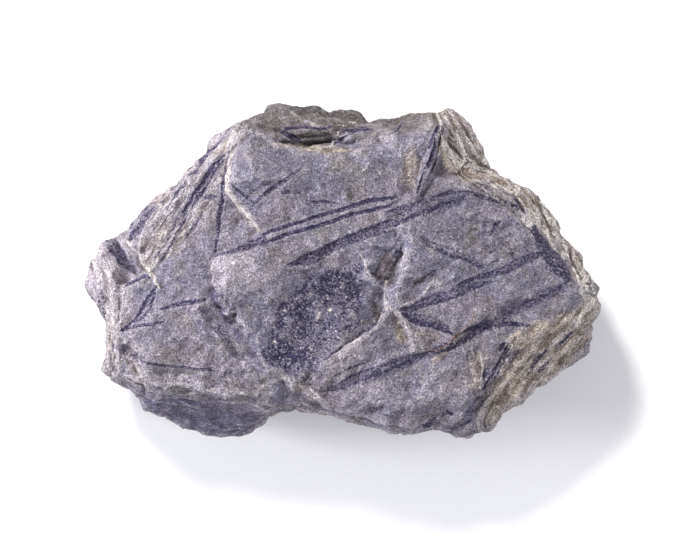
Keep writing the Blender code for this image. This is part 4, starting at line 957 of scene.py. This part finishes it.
# %% The crust: crumbs of carbon with pale grains between them
crust_in = stored(tree, "crust").outputs["Fac"]
pale_speck, rust_in, clot_in = parts(tree, stored(tree, "marks").outputs["Vector"])
clot_cloud = cloud(tree, in_mm, 0.24, 2.0, 0.6)
clots = plus(times(clot_cloud, 0.35), times(clot_in, 0.075))
crumbs = cloud(tree, in_mm, 0.85, 3.0, 0.62)
crumb_sum = plus(times(crumbs, 0.60), times(speck, 0.50))
crust_veil = times(crust_in, fade(tree, patches, 0.30, 0.62, 0.62, 0.20))
crust_mask = times(crust_in, fade(tree, plus(crumb_sum, clots), 0.745, 0.810))
pale_grain = times(crust_in, fade(tree, cloud(tree, in_mm, 1.1, 1.0, 0.5, 0.6), 0.65, 0.72))

# %% What edges, corners, crests and cracks take
stands_in = stored(tree, "stands_out").outputs["Fac"]
# part wear, part painted highlight: points that stand out are painted pale
bruise_and_highlight_mask = fade(tree, plus(stands_in, times(sugar, 0.3)), 0.35, 1.25, 0.0, 0.6)
bruise_and_highlight_mask = times(bruise_and_highlight_mask, fade(tree, olive_and_shade_mask, 0.0, 1.0, 1.0, 0.3))
# painted shade: points that lie deeper than their surroundings are painted dark brown
hollow_shade_mask = fade(tree, stands_in, -0.25, -1.0, 0.0, 0.5)
crest_in = stored(tree, "crest").outputs["Fac"]
# part bruise, part painted highlight: a pale line along each crest
crest_and_highlight_mask = fade(tree, plus(crest_in, times(sugar, 0.5)), 0.50, 1.05, 0.0, 0.9)
crest_and_highlight_colour = blend_colour(tree, fade(tree, ochre_mask, 0.5, 1.0), BRUISE_AND_HIGHLIGHT, CREAM)
# painted shadow: the hairline cracks are painted dark
crack_mask = fade(tree, stored(tree, "crack_reach").outputs["Fac"], 1.2, 0.6, 0.0, 0.85)
ochre_tone = fade(tree, plus(patches, times(bundle_in, 0.3)), 0.40, 0.62)
ochre = blend_colour(tree, ochre_tone, OCHRE_DARK, OCHRE_CLAY)
shade_colour = blend_colour(tree, ochre_mask, SHADE_BROWN, OCHRE_DARK)

# %% Mix the colour: each layer is (how much of it, its colour), from the mudstone up
mudstone = blend_colour(tree, fade(tree, mottle, 0.38, 0.62), GREY_VIOLET, GREY_BLUE)
layers = [
    (fade(tree, patches, 0.46, 0.80, 0.0, 0.28), GREY_LIGHT),
    (fade(tree, tint, 0.52, 0.72, 0.0, 0.45), EARTH_TINT),
    (fade(tree, tint, 0.46, 0.28, 0.0, 0.55), COLD_TINT),
    (times(ochre_mask, 0.94), ochre),
    (times(bloom_and_highlight_mask, 0.65), PALE_PINK),
    (hollow_shade_mask, SHADE_BROWN),
    (times(soot_and_shade_mask, 0.80), CARBON_WORN),
    (crust_veil, CARBON_WORN),
    (times(crust_mask, 0.9), CARBON),
    (pale_grain, PALE_PINK),
    (bundle_dark, shade_colour),
    (bundle_light, BRUISE_AND_HIGHLIGHT),
    (times(bed_dark, 0.55), shade_colour),
    (times(bed_light, 0.45), BRUISE_AND_HIGHLIGHT),
    (times(streak_dark, 0.68), shade_colour),
    (times(streak_light, 0.72), BRUISE_AND_HIGHLIGHT),
    (times(olive_and_shade_mask, 0.88), OLIVE_SKIN_AND_SHADE),
    (times(ridge_gap, 0.50), OCHRE_DARK),
    (times(ridge_line, 0.85), CREAM),
    (film_halo, CARBON_WORN),
    (times(film_rim, times(film_dark, 0.35)), RUBBED_AND_HIGHLIGHT),
    (film_veil, CARBON_WORN),
    (bruise_and_highlight_mask, RUBBED_AND_HIGHLIGHT),
    (times(film_mask, 0.88), CARBON),
    (crest_and_highlight_mask, crest_and_highlight_colour),
    (fade(tree, pale_speck, 0.3, 0.7, 0.0, 0.85), CREAM),
    (times(rust_in, fade(tree, patches, 0.40, 0.52, 0.45, 0.9)), RUST_BROWN),
    (crack_mask, SHADE_BROWN),
]
colour = mudstone
for share, paint in layers:
    colour = blend_colour(tree, share, colour, paint)
print(len(layers), "layers of colour over the mudstone")

# %% Grainy light and dark over all of it
sugar_tone = fade(tree, sugar, 0.28, 0.72, 0.66, 1.34)
dust_tone = fade(tree, dust, 0.32, 0.68, 0.55, 1.45)
tone = tree.nodes.new("ShaderNodeCombineColor")
for channel in tone.inputs:
    feed(tree, channel, times(sugar_tone, dust_tone))
colour = blend_colour(tree, 1.0, colour, tone.outputs[0], "MULTIPLY")
feed(tree, surface.inputs["Base Color"], colour)

# %% Roughness, and bump in millimetres
carbon_all = calc(tree, "MAXIMUM", film_mask, crust_mask)
feed(tree, surface.inputs["Roughness"], fade(tree, carbon_all, 0.0, 1.0, 0.88, 0.62))
surface.inputs["Specular IOR Level"].default_value = 0.22

heights = [
    (sugar, 0.70),
    (dust, 0.34),
    (patches, 0.60),
    (times(beds, side_in), 0.9),
    (times(fibres, film_shape), 0.70),
    (times(streaks, grain_strength), 1.10),
    (ridge_line, 0.60),
    (ridge_gap, -0.50),
    (times(speck, film_shape), 0.45),
    (film_shape, -0.30),
    (crack_mask, -0.30),
    (times(crumbs, crust_in), 0.35),
]
height = 0.0
for shape, millimetres in heights:
    height = plus(height, times(shape, millimetres))
bump = tree.nodes.new("ShaderNodeBump")
bump.inputs["Strength"].default_value = 1.0
bump.inputs["Distance"].default_value = MM
feed(tree, bump.inputs["Height"], height)
feed(tree, surface.inputs["Normal"], bump.outputs[0])
print("the shale's material has", len(tree.nodes), "nodes")

# %% Put the dressed stone in place of the plain one
stone = bpy.data.objects.new("shale_stone", stone_mesh)
bpy.context.scene.collection.objects.link(stone)
stone_mesh.materials.clear()
stone_mesh.materials.append(shale)
stone_mesh.shade_smooth()
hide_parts("shale_slab")
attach(stone, "root")

# %% [markdown]
# ## Floor, light and camera
#
# The floor is plain and pale. A soft window light stands beyond the plate's far edge and to the
# left, so that steps which face that way are bright and the near underside falls into shade. Two
# fills open the shadows, one low on the left and one on the near right. The camera is far off
# with a long lens, because a close one would spread the high face and draw in the low rim.


# %% A pale floor
def pale_floor():
    material = bpy.data.materials.new("studio_paper")
    material.use_nodes = True
    paper = material.node_tree
    board = paper.nodes["Principled BSDF"]
    where = paper.nodes.new("ShaderNodeTexCoord").outputs["Object"]
    fleck = cloud(paper, where, 900.0, 2.0)
    pale = blend_colour(paper, fleck, (0.86, 0.86, 0.87), (0.90, 0.90, 0.90))
    feed(paper, board.inputs["Base Color"], pale)
    board.inputs["Roughness"].default_value = 0.9
    board.inputs["Specular IOR Level"].default_value = 0.1
    sheet = bmesh.new()
    bmesh.ops.create_grid(sheet, x_segments=8, y_segments=8, size=3.0)
    mesh = bpy.data.meshes.new("studio_floor")
    sheet.to_mesh(mesh)
    sheet.free()
    mesh.materials.append(material)
    obj = bpy.data.objects.new("studio_floor", mesh)
    bpy.context.scene.collection.objects.link(obj)
    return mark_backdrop(obj)


pale_floor()

# %% Soft light
STONE_MIDDLE = Vector((0.0, 0.0, 20 * MM))


def soft_box(name, place, size, watts, tint):
    lamp = bpy.data.lights.new(name, "AREA")
    lamp.size = size
    lamp.energy = watts
    lamp.color = tint
    obj = bpy.data.objects.new(name, lamp)
    obj.location = place
    obj.rotation_euler = (Vector(place) - STONE_MIDDLE).to_track_quat("Z", "Y").to_euler()
    bpy.context.scene.collection.objects.link(obj)


soft_box("window", (-0.55, 1.10, 1.05), 0.35, 33.0, (1.0, 0.965, 0.92))
soft_box("left_fill", (-1.40, 0.05, 0.30), 0.4, 34.0, (0.95, 0.95, 1.0))
soft_box("right_fill", (1.15, -0.65, 1.0), 0.8, 15.0, (0.96, 0.96, 1.0))

world = bpy.data.worlds.new("studio")
world.use_nodes = True
world.node_tree.nodes["Background"].inputs["Color"].default_value = (0.92, 0.93, 1.0, 1.0)
world.node_tree.nodes["Background"].inputs["Strength"].default_value = 0.40
bpy.context.scene.world = world
bpy.context.scene.view_settings.view_transform = "Standard"

# %% A camera that looks straight down
CAMERA_HEIGHT = 2.4
PICTURE_WIDTH = 0.170  # metres across the picture, at the level of the stone's rim
RIM_LEVEL = 20 * MM

camera = bpy.data.cameras.new("overhead")
camera.sensor_width = 36.0
camera.lens = camera.sensor_width * (CAMERA_HEIGHT - RIM_LEVEL) / PICTURE_WIDTH
camera.clip_end = 10.0
overhead = bpy.data.objects.new("overhead", camera)
overhead.location = (-0.4 * MM, -0.25 * MM, CAMERA_HEIGHT)
bpy.context.scene.collection.objects.link(overhead)
bpy.context.scene.camera = overhead
print("lens:", round(camera.lens), "mm")
